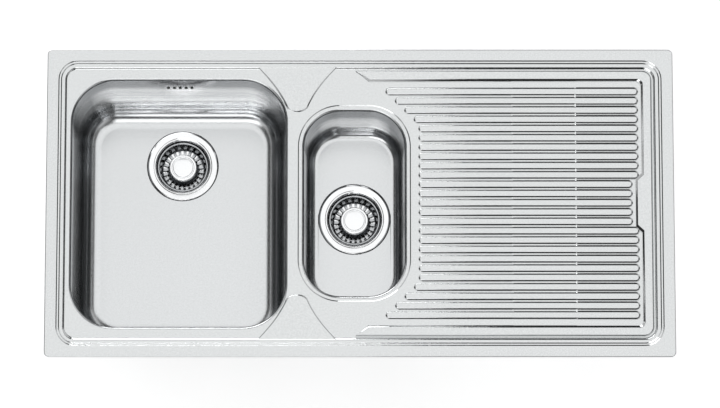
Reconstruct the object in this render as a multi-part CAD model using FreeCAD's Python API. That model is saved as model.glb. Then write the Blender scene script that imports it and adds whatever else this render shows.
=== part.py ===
"""Inset kitchen sink in stainless steel: main bowl, half bowl and ribbed drainer,
with two basket strainer wastes, an overflow and the clamps that hold it to a worktop.

Millimetres. X runs along the sink, Y to its back, Z up. The origin is the middle of the
worktop cut-out, in the plane of the worktop that the rim seal rests on.
"""
import FreeCAD, Part
import math
import os

from FreeCAD import Vector

os.makedirs("parts", exist_ok=True)

UP = Vector(0, 0, 1)
overrun = 5.0
running_clearance = 0.08
axial_clearance = 0.1

# Deck pressing
deck_length = 1000.0
deck_width = 500.0
deck_corner_radius = 8.0
sheet = 1.0
rim_top = 2.5
lip_gap = 0.2
rim_width = 18.5
rim_slope_width = 4.5
rim_inner_corner_radius = 31.0
ledge_drop = 1.6
ledge_width = 4.5
basin_slope_width = 5.0
basin_depth = 7.0
stock_depth = 16.0

# Bowls
bowl_edge_radius = 3.0
bowl_draft_deg = 3.0
main_bowl_length = 340.0
main_bowl_edge_margin = 50.0
main_bowl_width = deck_width - 2 * main_bowl_edge_margin
main_bowl_corner_radius = 68.0
main_bowl_depth = 180.0
main_bowl_floor_radius = 30.0
main_bowl_margin = 41.0
half_bowl_length = 160.0
half_bowl_width = 300.0
half_bowl_corner_radius = 58.0
half_bowl_depth = 125.0
half_bowl_floor_radius = 15.0
bowl_gap = 30.0
half_step_width = 8.0
half_step_depth = 1.0
half_step_slope = 1.5

# Drainer
rib_count = 25
rib_pitch = 15.15
rib_top_width = 7.0
rib_height = 2.5
rib_slope_width = 2.5
long_rib_count = 17
rib_right_margin = 56.0
rib_notch_count = 5
rib_notch_setback = 10.0
rib_left_gap = 14.5
rib_stair_step = 15.0
terrace_rise = 0.6
terrace_ramp = 1.5
terrace_first_from_end = 256.5
terrace_second_from_end = 155.5
band_outer_inset = 36.0
band_width = 11.5
band_height = 3.0
band_outer_slope = 1.5
band_inner_slope = 4.0
band_start_before_ribs = 38.5
band_end_bevel = 21.0
band_notch_half_length = 36.0
band_notch_bevel = 9.0
band_inner_corner_radius = 7.0

# Tap ledge plateaus
plateau_top_width = 119.0
plateau_tip_width = 31.0
plateau_reach = 68.5
plateau_tip_round = 6.0
plateau_left_bow = -1.0
plateau_right_bow = 4.5
plateau_slope_width = 2.0
plateau_height = 1.7
plateau_offset = 4.0

# Waste openings and strainers
waste_hole_radius = 45.0
waste_recess_radius = 57.6
waste_recess_depth = 2.2
main_waste_from_back = 100.0
flange_radius = 57.0
strainer_sheet = 1.0
flange_gasket_thickness = 1.2
cup_radius = 43.0
cup_depth = 41.0
cup_outlet_radius = 20.0
cup_bridge_width = 9.0
cup_hub_radius = 9.0
flange_bend_radius = 4.0

basket_sheet = 0.8
basket_rim_radius = 41.0
basket_rim_drop = 7.0
basket_rim_width = 3.5
basket_wall_foot_radius = 35.0
basket_slot_outer_radius = 33.0
basket_slot_inner_radius = 24.0
basket_plate_radius = 23.0
basket_knuckle_height = 8.0
basket_slot_count = 24
basket_slot_width = 3.0
stopper_radius = 27.0
stopper_thickness = 5.0
stopper_recess_radius = 9.5
knob_radius = 22.2
knob_height = 9.0
knob_edge_height = 3.0
knob_groove_radius = 17.0
knob_groove_width = 1.6
knob_groove_depth = 0.8
knob_neck_radius = 8.0
knob_neck_height = 15.0
stem_radius = 3.0
stem_length = 12.0

waste_screw_radius = 5.0
waste_screw_head_radius = 8.0
waste_screw_head_height = 4.0
waste_screw_socket_depth = 15.0
waste_screw_length = 14.0

body_gasket_thickness = 3.0
body_flange_thickness = 3.0
body_wall = 2.5
body_barrel_radius = 48.5
body_barrel_depth = 52.0
body_cone_height = 10.0
outlet_thread_radius = 23.9
outlet_bore_radius = 20.0
outlet_length = 25.0
body_hub_radius = 11.6
body_hub_height = 15.0
body_bridge_width = 6.0

# Overflow
overflow_below_deck = 40.0
overflow_slot_count = 5
overflow_slot_pitch = 9.4
overflow_slot_width = 4.5
overflow_slot_height = 14.0
overflow_box_length = 78.0
overflow_box_height = 34.0
overflow_box_depth = 28.0
overflow_box_wall = 2.0
overflow_gasket_thickness = 2.0
overflow_spigot_radius = 12.0
overflow_spigot_bore = 9.0
overflow_spigot_length = 16.0
overflow_stud_radius = 2.0
overflow_stud_spacing = 64.0
overflow_ear_thickness = 3.0
overflow_nut_across_flats = 7.0
overflow_nut_height = 3.2
hose_radius = 10.5
hose_bore = 8.5
hose_collar_radius = 11.8
hose_collar_length = 3.0
hose_bend_radius = 38.0
hose_nut_across_flats = 30.0
hose_nut_length = 16.0
hose_nut_lip = 2.0
inlet_below_flange = 22.0
inlet_reach = 62.0

# Sound pads
pad_thickness = 2.0
pad_corner_radius = 12.0
pad_waste_gap = 11.0
main_pad_length = 200.0
main_pad_from_front = 55.0
half_pad_length = 70.0
half_pad_from_front = 38.0

# Rim seal, rails and clamps
seal_inset = 1.4
seal_width = 8.0
seal_inner_corner_radius = 4.0
rail_sheet = 1.2
rail_flange_width = 6.0
rail_web_inset = 18.2
rail_drop = 23.0
rail_foot_width = 11.8
rail_end_gap = 60.0
clamp_inset = 24.0
clamp_shares = (-0.45, -0.02, 0.38)
clamp_screw_radius = 3.0
clamp_screw_hang = 32.0
clamp_screw_end = 1.0
clamp_boss_radius = 5.5
clamp_boss_height = 4.0
clamp_head_radius = 6.5
clamp_head_height = 3.5
clamp_slot_width = 1.2
clamp_slot_depth = 1.6
clamp_bush_neck_radius = 4.8
clamp_bush_lip_radius = 5.8
clamp_bush_lip_height = 0.8
claw_sheet = 2.0
claw_eye_radius = 8.5
claw_length = 22.0
claw_tip_width = 12.0
claw_tip_height = 8.0
claw_tooth_depth = 2.5
claw_tooth_count = 3

# Levels and places that follow from the sizes above
ledge_top = rim_top - ledge_drop
basin_top = rim_top - basin_depth
rib_top = basin_top + rib_height
band_top = basin_top + band_height
plateau_top = basin_top + plateau_height
rim_slope_inset = rim_width + rim_slope_width
basin_slope_inset = rim_slope_inset + ledge_width
basin_inset = basin_slope_inset + basin_slope_width
long_rail_length = deck_length - 2 * rail_end_gap
short_rail_length = deck_width - 2 * rail_end_gap
half_length = deck_length / 2
half_width = deck_width / 2
main_bowl_x = -half_length + main_bowl_margin + main_bowl_length / 2
half_bowl_x = main_bowl_x + (main_bowl_length + half_bowl_length) / 2 + bowl_gap
plateau_x = half_bowl_x - half_bowl_length / 2 - bowl_gap / 2 + plateau_offset
main_floor = basin_top - main_bowl_depth
half_floor = basin_top - half_bowl_depth
main_waste_y = main_bowl_width / 2 - main_waste_from_back
ribs_left = half_bowl_x + half_bowl_length / 2 + half_step_width + rib_left_gap
ribs_right = half_length - rib_right_margin
band_left = ribs_left - band_start_before_ribs - rib_stair_step * (rib_count - long_rib_count) / 2


def rounded_rectangle(length, width, radius, centre, z):
    """Closed wire of four lines and four quarter arcs, counter-clockwise."""
    cx, cy = centre
    a, b = length / 2, width / 2
    diagonal = radius * math.cos(math.pi / 4)
    edges = []
    corners = ((a, b, 0), (-a, b, 1), (-a, -b, 2), (a, -b, 3))
    ends = []
    for x, y, quarter in corners:
        ox = cx + x - math.copysign(radius, x)
        oy = cy + y - math.copysign(radius, y)
        turn = quarter * math.pi / 2
        start = Vector(ox + radius * math.cos(turn), oy + radius * math.sin(turn), z)
        middle = Vector(ox + math.copysign(diagonal, x), oy + math.copysign(diagonal, y), z)
        end = Vector(ox + radius * math.cos(turn + math.pi / 2),
                     oy + radius * math.sin(turn + math.pi / 2), z)
        ends.append((start, middle, end))
    for index, (start, middle, end) in enumerate(ends):
        edges.append(Part.Arc(start, middle, end).toShape())
        following = ends[(index + 1) % len(ends)][0]
        if (following - end).Length > running_clearance:
            edges.append(Part.LineSegment(end, following).toShape())
    return Part.Wire(edges)


def tapered_block(hubs, low_radius, high_radius, low, high):
    """Solid round two or four corner hubs, whose corner radius changes evenly with height."""
    sweep = 360 / len(hubs)
    faces = []
    rims = ([], [])
    for index, hub in enumerate(hubs):
        first = math.radians(sweep * index + (0 if len(hubs) > 2 else -90))
        last = first + math.radians(sweep)
        following = hubs[(index + 1) % len(hubs)]
        corners = []
        for rim, radius, z in zip(rims, (low_radius, high_radius), (low, high)):
            at = Vector(hub.x, hub.y, z)
            start, middle, end = [at + Vector(math.cos(turn), math.sin(turn), 0) * radius
                                  for turn in (first, (first + last) / 2, last)]
            rim.append(Part.Arc(start, middle, end).toShape())
            rim.append(Part.makeLine(end, end + following - hub))
            corners.append((start, end, end + following - hub))
        slant = Part.makeLine(corners[0][0], corners[1][0])
        faces.append(slant.revolve(Vector(hub.x, hub.y, 0), UP, sweep))
        side = [corners[0][1], corners[0][2], corners[1][2], corners[1][1], corners[0][1]]
        faces.append(Part.Face(Part.makePolygon(side)))
    faces += [Part.Face(Part.Wire(rim)) for rim in rims]
    return closed_solid(faces)


def tapered_prism(low_points, high_points, low, high):
    """Solid with plane sides between two outlines of matching corners."""
    bottom = [Vector(x, y, low) for x, y in low_points]
    top = [Vector(x, y, high) for x, y in high_points]
    faces = [Part.Face(Part.makePolygon(ring + ring[:1])) for ring in (bottom, top)]
    for k in range(len(bottom)):
        after = (k + 1) % len(bottom)
        side = [bottom[k], bottom[after], top[after], top[k], bottom[k]]
        faces.append(Part.Face(Part.makePolygon(side)))
    return closed_solid(faces)


def closed_solid(faces):
    """Solid inside a closed set of faces."""
    shell = Part.makeShell(faces)
    shell.sewShape()
    solid = Part.makeSolid(shell)
    if solid.Volume < 0:
        solid.reverse()
    return solid


def corner_hubs(length, width, radius, centre=(0, 0)):
    """Centres of the four corner arcs of a rounded rectangle, counter-clockwise."""
    a, b = length / 2 - radius, width / 2 - radius
    return [Vector(centre[0] + sx * a, centre[1] + sy * b, 0)
            for sx, sy in ((1, 1), (-1, 1), (-1, -1), (1, -1))]


def loft(*wires):
    """Ruled solid through wires of matching edges."""
    return Part.makeLoft(list(wires), True, True)


def prism(wire, height):
    """Solid above a flat wire, or below it for a negative height."""
    return Part.Face(wire).extrude(Vector(0, 0, height))


def tube(outer, inner, bottom, height, centre=(0, 0)):
    """Ring between two radii."""
    at = Vector(centre[0], centre[1], bottom)
    ring = Part.makeCylinder(outer, height, at)
    return ring.cut(Part.makeCylinder(inner, height, at))


def revolved(points, centre, z):
    """Solid turned about a vertical axis from (radius, height) points."""
    corners = [Vector(r, 0, h) for r, h in points]
    face = Part.Face(Part.makePolygon(corners + corners[:1]))
    solid = face.revolve(Vector(0, 0, 0), UP, 360)
    solid.translate(Vector(centre[0], centre[1], z))
    return solid


def hexagon(across_flats, z, centre=(0, 0)):
    """Closed hexagonal wire."""
    radius = across_flats / 2 / math.cos(math.pi / 6)
    corners = [Vector(centre[0] + radius * math.cos(k * math.pi / 3),
                      centre[1] + radius * math.sin(k * math.pi / 3), z) for k in range(6)]
    return Part.makePolygon(corners + corners[:1])


def deck_ring(inset, radius, z):
    """Rounded rectangle at one distance inside the deck's edge."""
    return rounded_rectangle(deck_length - 2 * inset, deck_width - 2 * inset, radius, (0, 0), z)


# Deck pressing
def rim_pocket(drop):
    """What the press takes out inside the rim: slope, ledge and second slope."""
    radius = rim_inner_corner_radius
    hubs = corner_hubs(deck_length - 2 * rim_width, deck_width - 2 * rim_width, radius)
    above = overrun * rim_slope_width / ledge_drop
    upper = tapered_block(hubs, radius - rim_slope_width, radius + above,
                          ledge_top - drop, rim_top + overrun - drop)
    radius -= rim_slope_width + ledge_width
    above = ledge_width * (ledge_top - basin_top) / basin_slope_width
    lower = tapered_block(hubs, radius - basin_slope_width, radius + ledge_width,
                          basin_top - drop, ledge_top + above - drop)
    return upper.fuse(lower)


def plateau_outline(grow, z, side):
    """Tap ledge outline: straight along the rim, two hollow sides and a rounded tip."""
    edge = half_width - basin_inset
    root = side * (edge + basin_slope_width)
    tip = side * (edge - plateau_reach - grow)
    wide = plateau_top_width / 2 + grow
    narrow = plateau_tip_width / 2 + grow
    shoulder = tip + side * plateau_tip_round
    flare = basin_slope_width * (wide - narrow) / (plateau_reach - plateau_tip_round)
    corners = [Vector(plateau_x + s * (wide + flare), root, z) for s in (-1, 1)]
    knees = [Vector(plateau_x + s * narrow, shoulder, z) for s in (-1, 1)]
    bows = (plateau_left_bow, -plateau_right_bow)
    middles = [(corner + knee) / 2 + Vector(bow, 0, 0)
               for bow, corner, knee in zip(bows, corners, knees)]
    edges = [
        Part.LineSegment(corners[0], corners[1]).toShape(),
        Part.Arc(corners[1], middles[1], knees[1]).toShape(),
        Part.Arc(knees[1], Vector(plateau_x, tip, z), knees[0]).toShape(),
        Part.Arc(knees[0], middles[0], corners[0]).toShape(),
    ]
    return Part.Wire(edges)


def plateau(side, drop):
    """Raised tap ledge between the bowls, on one long side."""
    foot = basin_top - overrun / 10
    share = (plateau_top - foot) / plateau_height
    low = plateau_outline(plateau_slope_width * share, foot - drop, side)
    return loft(low, plateau_outline(0.0, plateau_top - drop, side))


def rib_ends(index):
    """Left and right end of a rib's top, by its place from the middle."""
    place = abs(index)
    stairs = max(0, place - (long_rib_count - 1) // 2)
    left = ribs_left - rib_stair_step * max(0, stairs - 1) - (rib_stair_step / 2 if stairs else 0)
    notched = place <= (rib_notch_count - 1) // 2
    return left, ribs_right - (rib_notch_setback if notched else 0.0)


def rib_outline(left, right, y, half):
    """Long hexagon-ended outline of a rib at one level."""
    cut = half * math.tan(math.radians(30))
    short = half - cut
    return [(right, y - cut), (right, y + cut), (right - short, y + half), (left + short, y + half),
            (left, y + cut), (left, y - cut), (left + short, y - half), (right - short, y - half)]


def rib(index, drop):
    """One raised drainer rib with sloping sides and blunted ends."""
    left, right = rib_ends(index)
    y = index * rib_pitch
    depth = rib_height + overrun / 10
    run = rib_slope_width * depth / rib_height
    half = rib_top_width / 2
    inset = rib_slope_width
    low = rib_outline(left + inset - run, right - inset + run, y, half + run)
    high = rib_outline(left + inset, right - inset, y, half)
    return tapered_prism(low, high, rib_top - depth - drop, rib_top - drop)


def band_outline(grow_out, grow_in, z):
    """Border of the drainer on three sides, with a wider pad half way up its right side."""
    outer, inner = band_outer_inset - grow_out, band_outer_inset + band_width + grow_in
    start = band_left - grow_out
    right_out, right_in = half_length - outer, half_length - inner
    back_out, back_in = half_width - outer, half_width - inner
    round_out = rim_width + rim_inner_corner_radius - outer
    round_in = band_inner_corner_radius - grow_in
    notch = right_in - rib_notch_setback
    reach = band_notch_half_length + grow_in
    slant = band_notch_bevel
    bevel = start + band_end_bevel
    points = [
        (start, -back_out, 0), (right_out, -back_out, round_out), (right_out, back_out, round_out),
        (start, back_out, 0), (bevel, back_in, 0), (right_in, back_in, round_in),
        (right_in, reach + slant, 0), (notch, reach, 0), (notch, -reach, 0),
        (right_in, -reach - slant, 0), (right_in, -back_in, round_in), (bevel, -back_in, 0),
    ]
    return filleted_outline(points, z)


def filleted_outline(points, z):
    """Closed wire through (x, y, corner radius) points, for square corners where rounded."""
    slant = 1 - math.cos(math.pi / 4)
    stops = []
    for index, (x, y, radius) in enumerate(points):
        corner = Vector(x, y, z)
        if not radius:
            stops.append((corner, None, corner))
            continue
        before, after = points[index - 1], points[(index + 1) % len(points)]
        back = (Vector(before[0], before[1], z) - corner).normalize()
        ahead = (Vector(after[0], after[1], z) - corner).normalize()
        middle = corner + (back + ahead) * (radius * slant)
        stops.append((corner + back * radius, middle, corner + ahead * radius))
    edges = []
    for index, (start, middle, end) in enumerate(stops):
        if middle:
            edges.append(Part.Arc(start, middle, end).toShape())
        edges.append(Part.LineSegment(end, stops[(index + 1) % len(stops)][0]).toShape())
    return Part.Wire(edges)


def drainer_band(drop):
    """Raised border round the drainer."""
    foot = basin_top - overrun / 10
    share = (band_top - foot) / band_height
    low = band_outline(band_outer_slope * share, band_inner_slope * share, foot - drop)
    return loft(low, band_outline(0.0, 0.0, band_top - drop))


def terraces(drop):
    """Drainer floor, which climbs in two small steps away from the bowls."""
    first = half_length - terrace_first_from_end
    second = half_length - terrace_second_from_end
    end = half_length - band_outer_inset - band_width / 2
    low = basin_top - overrun - drop
    floor = basin_top - drop
    profile = [
        (first - terrace_ramp, low), (first - terrace_ramp, floor), (first, floor + terrace_rise),
        (second - terrace_ramp, floor + terrace_rise), (second, floor + 2 * terrace_rise),
        (end, floor + 2 * terrace_rise), (end, low),
    ]
    reach = half_width - band_outer_inset - band_width / 2
    corners = [Vector(x, -reach, z) for x, z in profile]
    face = Part.Face(Part.makePolygon(corners + corners[:1]))
    return face.extrude(Vector(0, 2 * reach, 0))


def half_bowl_step(drop):
    """Shallow sunken step round the half bowl."""
    grow = bowl_edge_radius + half_step_width - half_step_slope
    above = half_step_slope * (half_step_depth + overrun) / half_step_depth
    radius = half_bowl_corner_radius
    hubs = corner_hubs(half_bowl_length, half_bowl_width, radius, (half_bowl_x, 0))
    return tapered_block(hubs, radius + grow, radius + grow + above,
                         basin_top - half_step_depth - drop, basin_top + overrun - drop)


def pressed_stock(drop, inset):
    """Solid whose top face is the deck's upper face, lowered by drop."""
    top = rim_top - drop
    if inset:
        stock = prism(deck_ring(inset, deck_corner_radius - inset, top), -stock_depth - overrun)
    else:
        stock = prism(deck_ring(0.0, deck_corner_radius, top), lip_gap - top)
        core = prism(deck_ring(rim_width, rim_inner_corner_radius, lip_gap), -stock_depth)
        stock = stock.fuse(core)
    stock = stock.cut(rim_pocket(drop))
    ribs = [rib(k, drop) for k in range(-(rib_count // 2), rib_count // 2 + 1)]
    raised = [plateau(1, drop), plateau(-1, drop), terraces(drop), drainer_band(drop)] + ribs
    keep = prism(deck_ring(rim_width, rim_inner_corner_radius, rim_top - drop), -stock_depth)
    stock = stock.multiFuse([piece.common(keep) for piece in raised])
    return stock.cut(half_bowl_step(drop))


def bowl_mouth(length, width, radius, x, z):
    """Bowl outline at the deck, outside its rolled edge."""
    grow = 2 * bowl_edge_radius
    return rounded_rectangle(length + grow, width + grow, radius + bowl_edge_radius, (x, 0), z)


def sink_deck():
    """Pressed deck: rim, tap ledges and ribbed drainer, of one sheet thickness."""
    sheet_metal = pressed_stock(0.0, 0.0).cut(pressed_stock(sheet, sheet))
    openings = (
        (main_bowl_length, main_bowl_width, main_bowl_corner_radius, main_bowl_x),
        (half_bowl_length, half_bowl_width, half_bowl_corner_radius, half_bowl_x),
    )
    for length, width, radius, x in openings:
        mouth = bowl_mouth(length, width, radius, x, rim_top + overrun)
        sheet_metal = sheet_metal.cut(prism(mouth, -2 * stock_depth))
    return sheet_metal


# Bowls
def bowl_block(length, width, corner, top, depth, floor_radius, x, grow):
    """Tapered block with a rounded floor edge: a bowl's inside, or its outside for grow."""
    shrink = depth * math.tan(math.radians(bowl_draft_deg))
    hubs = corner_hubs(length, width, corner, (x, 0))
    bottom = top - depth
    block = tapered_block(hubs, corner + grow - shrink, corner + grow, bottom, top)
    floor_edges = [e for e in block.Edges
                   if all(abs(v.Z - bottom) < running_clearance for v in e.Vertexes)]
    return block.makeFillet(floor_radius, floor_edges)


def rolled_edge(length, width, corner, x, top):
    """Quarter round that turns the deck down into the bowl wall."""
    outer = bowl_edge_radius
    inner = outer - sheet
    level = top - outer
    slant = math.cos(math.pi / 4)
    a, b = length / 2 - corner, width / 2 - corner
    hubs = [Vector(x + sx * a, sy * b, level) for sx, sy in ((1, 1), (-1, 1), (-1, -1), (1, -1))]

    def profile(hub, outward):
        """Faceted section of the roll, on the wall line seen from a corner's hub."""
        middle = hub + outward * (corner + outer)
        sides = []
        for radius in (outer, inner):
            waist = middle + (UP - outward) * (radius * slant)
            sides.append([middle - outward * radius, waist, middle + UP * radius])
        loop = sides[0] + sides[1][::-1]
        return Part.Face(Part.makePolygon(loop + loop[:1]))

    pieces = []
    for quarter, hub in enumerate(hubs):
        turn = quarter * math.pi / 2
        start = Vector(math.cos(turn), math.sin(turn), 0)
        finish = Vector(-math.sin(turn), math.cos(turn), 0)
        pieces.append(profile(hub, start).revolve(hub, UP, 90))
        run = hubs[(quarter + 1) % len(hubs)] - hub
        pieces.append(profile(hub, finish).extrude(run))
    return pieces[0].multiFuse(pieces[1:]).removeSplitter()


def bowl(length, width, corner, depth, floor_radius, x, waste, top):
    """Deep drawn bowl with a rolled top edge and a recessed waste hole."""
    wall_top = top - bowl_edge_radius
    wall_depth = depth - bowl_edge_radius - (basin_top - top)
    outside = bowl_block(length, width, corner, wall_top, wall_depth + sheet,
                         floor_radius + sheet, x, sheet)
    inside = bowl_block(length, width, corner, wall_top, wall_depth, floor_radius, x, 0.0)
    floor = wall_top - wall_depth
    seat = floor - waste_recess_depth
    at = Vector(waste[0], waste[1], seat - sheet)
    boss = Part.makeCylinder(waste_recess_radius + sheet, waste_recess_depth + sheet, at)
    recess = Part.makeCylinder(waste_recess_radius, waste_recess_depth + overrun,
                               Vector(waste[0], waste[1], seat))
    hole = Part.makeCylinder(waste_hole_radius, sheet + overrun,
                             Vector(waste[0], waste[1], seat - sheet - overrun / 2))
    shell = outside.fuse(boss).cut(inside).cut(recess).cut(hole)
    edge = rolled_edge(length, width, corner, x, top)
    return shell.fuse(edge).removeSplitter()


def back_wall(z):
    """Y of the main bowl's inner back face at a height, and its lean."""
    lean = math.tan(math.radians(bowl_draft_deg))
    return main_bowl_width / 2 - (basin_top - bowl_edge_radius - z) * lean


overflow_z = basin_top - overflow_below_deck
overflow_wall = back_wall(overflow_z) + sheet / math.cos(math.radians(bowl_draft_deg))
overflow_box_y = overflow_wall + overflow_gasket_thickness


def leaning(shape):
    """Tilts a shape about the overflow's line so that it lies along the leaning back wall."""
    turned = shape.copy()
    turned.rotate(Vector(0, overflow_wall, overflow_z), Vector(1, 0, 0), -bowl_draft_deg)
    return turned


def overflow_stud_places():
    return [main_bowl_x + s * overflow_stud_spacing / 2 for s in (-1, 1)]


def overflow_slots():
    """Row of slots through the back wall."""
    cuts = []
    for k in range(overflow_slot_count):
        x = main_bowl_x + (k - (overflow_slot_count - 1) / 2) * overflow_slot_pitch
        straight = overflow_slot_height - overflow_slot_width
        radius = overflow_slot_width / 2
        bar = Part.makeBox(overflow_slot_width, 2 * overrun, straight,
                           Vector(x - radius, overflow_wall - overrun, overflow_z - straight / 2))
        for end in (-1, 1):
            at = Vector(x, overflow_wall - overrun, overflow_z + end * straight / 2)
            bar = bar.fuse(Part.makeCylinder(radius, 2 * overrun, at, Vector(0, 1, 0)))
        cuts.append(leaning(bar))
    return cuts


def main_bowl():
    """Main bowl with overflow slots and two welded studs behind them."""
    made = bowl(main_bowl_length, main_bowl_width, main_bowl_corner_radius, main_bowl_depth,
                main_bowl_floor_radius, main_bowl_x, (main_bowl_x, main_waste_y), basin_top)
    for cut in overflow_slots():
        made = made.cut(cut)
    length = overflow_gasket_thickness + overflow_ear_thickness + 2 * overflow_nut_height
    for x in overflow_stud_places():
        at = Vector(x, overflow_wall - sheet / 2, overflow_z)
        stud = Part.makeCylinder(overflow_stud_radius, length + sheet / 2, at, Vector(0, 1, 0))
        made = made.fuse(leaning(stud))
    return made


def half_bowl():
    """Half bowl, whose mouth lies in a shallow step."""
    return bowl(half_bowl_length, half_bowl_width, half_bowl_corner_radius, half_bowl_depth,
                half_bowl_floor_radius, half_bowl_x, (half_bowl_x, 0.0),
                basin_top - half_step_depth)


# Strainer wastes, built about (0, 0) with the bowl floor at height 0
def strainer_cup():
    """Pressed flange and cup with a bridged outlet that the waste screw pulls down."""
    s, b = strainer_sheet, flange_bend_radius
    face = -waste_recess_depth + flange_gasket_thickness + s
    inside = cup_radius - s
    slant = 1 - math.cos(math.pi / 4)
    points = [
        (flange_radius, face - s), (flange_radius, face - s / 2), (flange_radius - s / 2, face),
        (inside + b, face), (inside + b * slant, face - b * slant), (inside, face - b),
        (inside, -cup_depth + s), (cup_outlet_radius, -cup_depth + s),
        (cup_outlet_radius, -cup_depth), (cup_radius, -cup_depth), (cup_radius, face - b),
        (cup_radius + (b - s) * slant, face - s - (b - s) * slant), (cup_radius + b - s, face - s),
    ]
    cup = revolved(points, (0, 0), 0)
    hub = Part.makeCylinder(cup_hub_radius, s, Vector(0, 0, -cup_depth))
    across = 2 * cup_outlet_radius + s
    for turn in (0, 90):
        bridge = Part.makeBox(across, cup_bridge_width, s,
                              Vector(-across / 2, -cup_bridge_width / 2, -cup_depth))
        bridge.rotate(Vector(0, 0, 0), UP, turn)
        hub = hub.fuse(bridge)
    hole = Part.makeCylinder(waste_screw_radius + running_clearance, 3 * s,
                             Vector(0, 0, -cup_depth - s))
    return cup.fuse(hub).cut(hole).removeSplitter()


def flange_gasket():
    """Flat rubber ring between the flange and the bowl's recess, clear of the cup's bend."""
    bore = cup_radius + flange_bend_radius
    return tube(flange_radius, bore, -waste_recess_depth, flange_gasket_thickness)


basket_floor = -cup_depth + strainer_sheet + stopper_thickness


def basket():
    """Perforated catch basket: rolled rim, tapered wall and a slotted cone round a plate."""
    t = basket_sheet
    top = -basket_rim_drop
    wall = basket_rim_radius - basket_rim_width
    knee = basket_floor + basket_knuckle_height
    points = [
        (basket_rim_radius, top - t), (basket_rim_radius, top), (wall, top),
        (basket_wall_foot_radius - t, knee), (basket_plate_radius, basket_floor + t),
        (0, basket_floor + t), (0, basket_floor), (basket_plate_radius + t, basket_floor),
        (basket_wall_foot_radius, knee), (wall + t, top - t),
    ]
    made = revolved(points, (0, 0), 0)
    reach = basket_slot_outer_radius - basket_slot_inner_radius
    slots = []
    for k in range(basket_slot_count):
        slot = Part.makeBox(reach, basket_slot_width, basket_knuckle_height + 2 * t,
                            Vector(basket_slot_inner_radius, -basket_slot_width / 2, basket_floor - t))
        slot.rotate(Vector(0, 0, 0), UP, 360 / basket_slot_count * k)
        slots.append(slot)
    return made.cut(Part.makeCompound(slots))


def basket_knob():
    """Broad lifting knob on a neck, with a groove round its crown."""
    base = basket_floor + basket_sheet
    cap = base + knob_neck_height
    crown = cap + knob_height
    edge = cap + knob_edge_height
    outer = knob_groove_radius + knob_groove_width / 2
    inner = knob_groove_radius - knob_groove_width / 2
    points = [
        (0, base), (knob_neck_radius, base), (knob_neck_radius, cap), (knob_radius, cap),
        (knob_radius, edge), (outer, crown - knob_groove_depth),
        (outer, crown - 2 * knob_groove_depth),
        (inner, crown - 2 * knob_groove_depth), (inner, crown - knob_groove_depth / 2), (0, crown),
    ]
    return revolved(points, (0, 0), 0)


def basket_stem():
    """Post under the basket that guides it in the hollow waste screw."""
    return Part.makeCylinder(stem_radius, stem_length, Vector(0, 0, basket_floor - stem_length))


def stopper_seal():
    """Rubber washer under the basket that closes the outlet."""
    bottom = -cup_depth + strainer_sheet
    lip = stopper_thickness / 2
    points = [
        (stem_radius, basket_floor), (stem_radius, basket_floor - strainer_sheet / 2),
        (stopper_recess_radius, basket_floor - strainer_sheet / 2), (stopper_recess_radius, bottom),
        (stopper_radius, bottom), (stopper_radius - lip / 2, bottom + lip),
        (basket_plate_radius, basket_floor),
    ]
    return revolved(points, (0, 0), 0)


def waste_screw():
    """Hollow headed screw that draws the cup down onto the waste body."""
    seat = -cup_depth + strainer_sheet
    shank = waste_screw_radius
    made = Part.makeCylinder(waste_screw_head_radius, waste_screw_head_height, Vector(0, 0, seat))
    made = made.fuse(Part.makeCylinder(shank, waste_screw_length, Vector(0, 0, seat - waste_screw_length)))
    crown = seat + waste_screw_head_height
    socket = Part.makeCylinder(stem_radius + running_clearance, waste_screw_socket_depth,
                               Vector(0, 0, crown - waste_screw_socket_depth))
    return made.cut(socket).removeSplitter()


gasket_low = -waste_recess_depth - sheet - body_gasket_thickness


def body_gasket():
    """Thick rubber ring between the bowl's underside and the waste body."""
    return tube(flange_radius, waste_hole_radius, gasket_low, body_gasket_thickness)


def waste_body(inlet):
    """Moulded waste body: flange, barrel, cone and threaded outlet, with a bridged hub."""
    top = gasket_low
    barrel = top - body_barrel_depth
    cone = barrel - body_cone_height
    bore = body_barrel_radius - body_wall
    points = [
        (bore, top), (flange_radius, top), (flange_radius, top - body_flange_thickness),
        (body_barrel_radius, top - body_flange_thickness), (body_barrel_radius, barrel),
        (outlet_thread_radius, cone), (outlet_thread_radius, cone - outlet_length),
        (outlet_bore_radius, cone - outlet_length), (outlet_bore_radius, cone),
        (bore, barrel + body_wall),
    ]
    made = revolved(points, (0, 0), 0)
    foot = -cup_depth - body_hub_height
    hub = Part.makeCylinder(body_hub_radius, body_hub_height, Vector(0, 0, foot))
    across = 2 * bore + body_wall
    for turn in (0, 90):
        bridge = Part.makeBox(across, body_bridge_width, body_hub_height / 2,
                              Vector(-across / 2, -body_bridge_width / 2, foot))
        bridge.rotate(Vector(0, 0, 0), UP, turn)
        hub = hub.fuse(bridge)
    envelope = Part.makeCylinder(body_barrel_radius - body_wall / 2, body_barrel_depth,
                                 Vector(0, 0, barrel))
    made = made.fuse(hub.common(envelope))
    thread = Part.makeCylinder(waste_screw_radius + running_clearance / 2,
                               waste_screw_length + overrun,
                               Vector(0, 0, -cup_depth - waste_screw_length))
    made = made.cut(thread)
    if inlet:
        height = top - inlet_below_flange
        reach = inlet_reach
        axis, back = Vector(0, 0, height), Vector(0, 1, 0)
        side = Part.makeCylinder(overflow_spigot_radius, reach, axis, back)
        side = side.cut(Part.makeCylinder(bore, body_barrel_depth, Vector(0, 0, barrel)))
        mouth = Part.makeCylinder(overflow_spigot_bore, reach + overrun, axis, back)
        mouth = mouth.cut(Part.makeCylinder(bore / 2, body_barrel_depth, Vector(0, 0, barrel)))
        made = made.fuse(side).cut(mouth)
    return made.removeSplitter()


def placed(shape, place):
    """Copy of a shape moved to a place."""
    moved = shape.copy()
    moved.translate(Vector(*place))
    return moved


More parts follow.
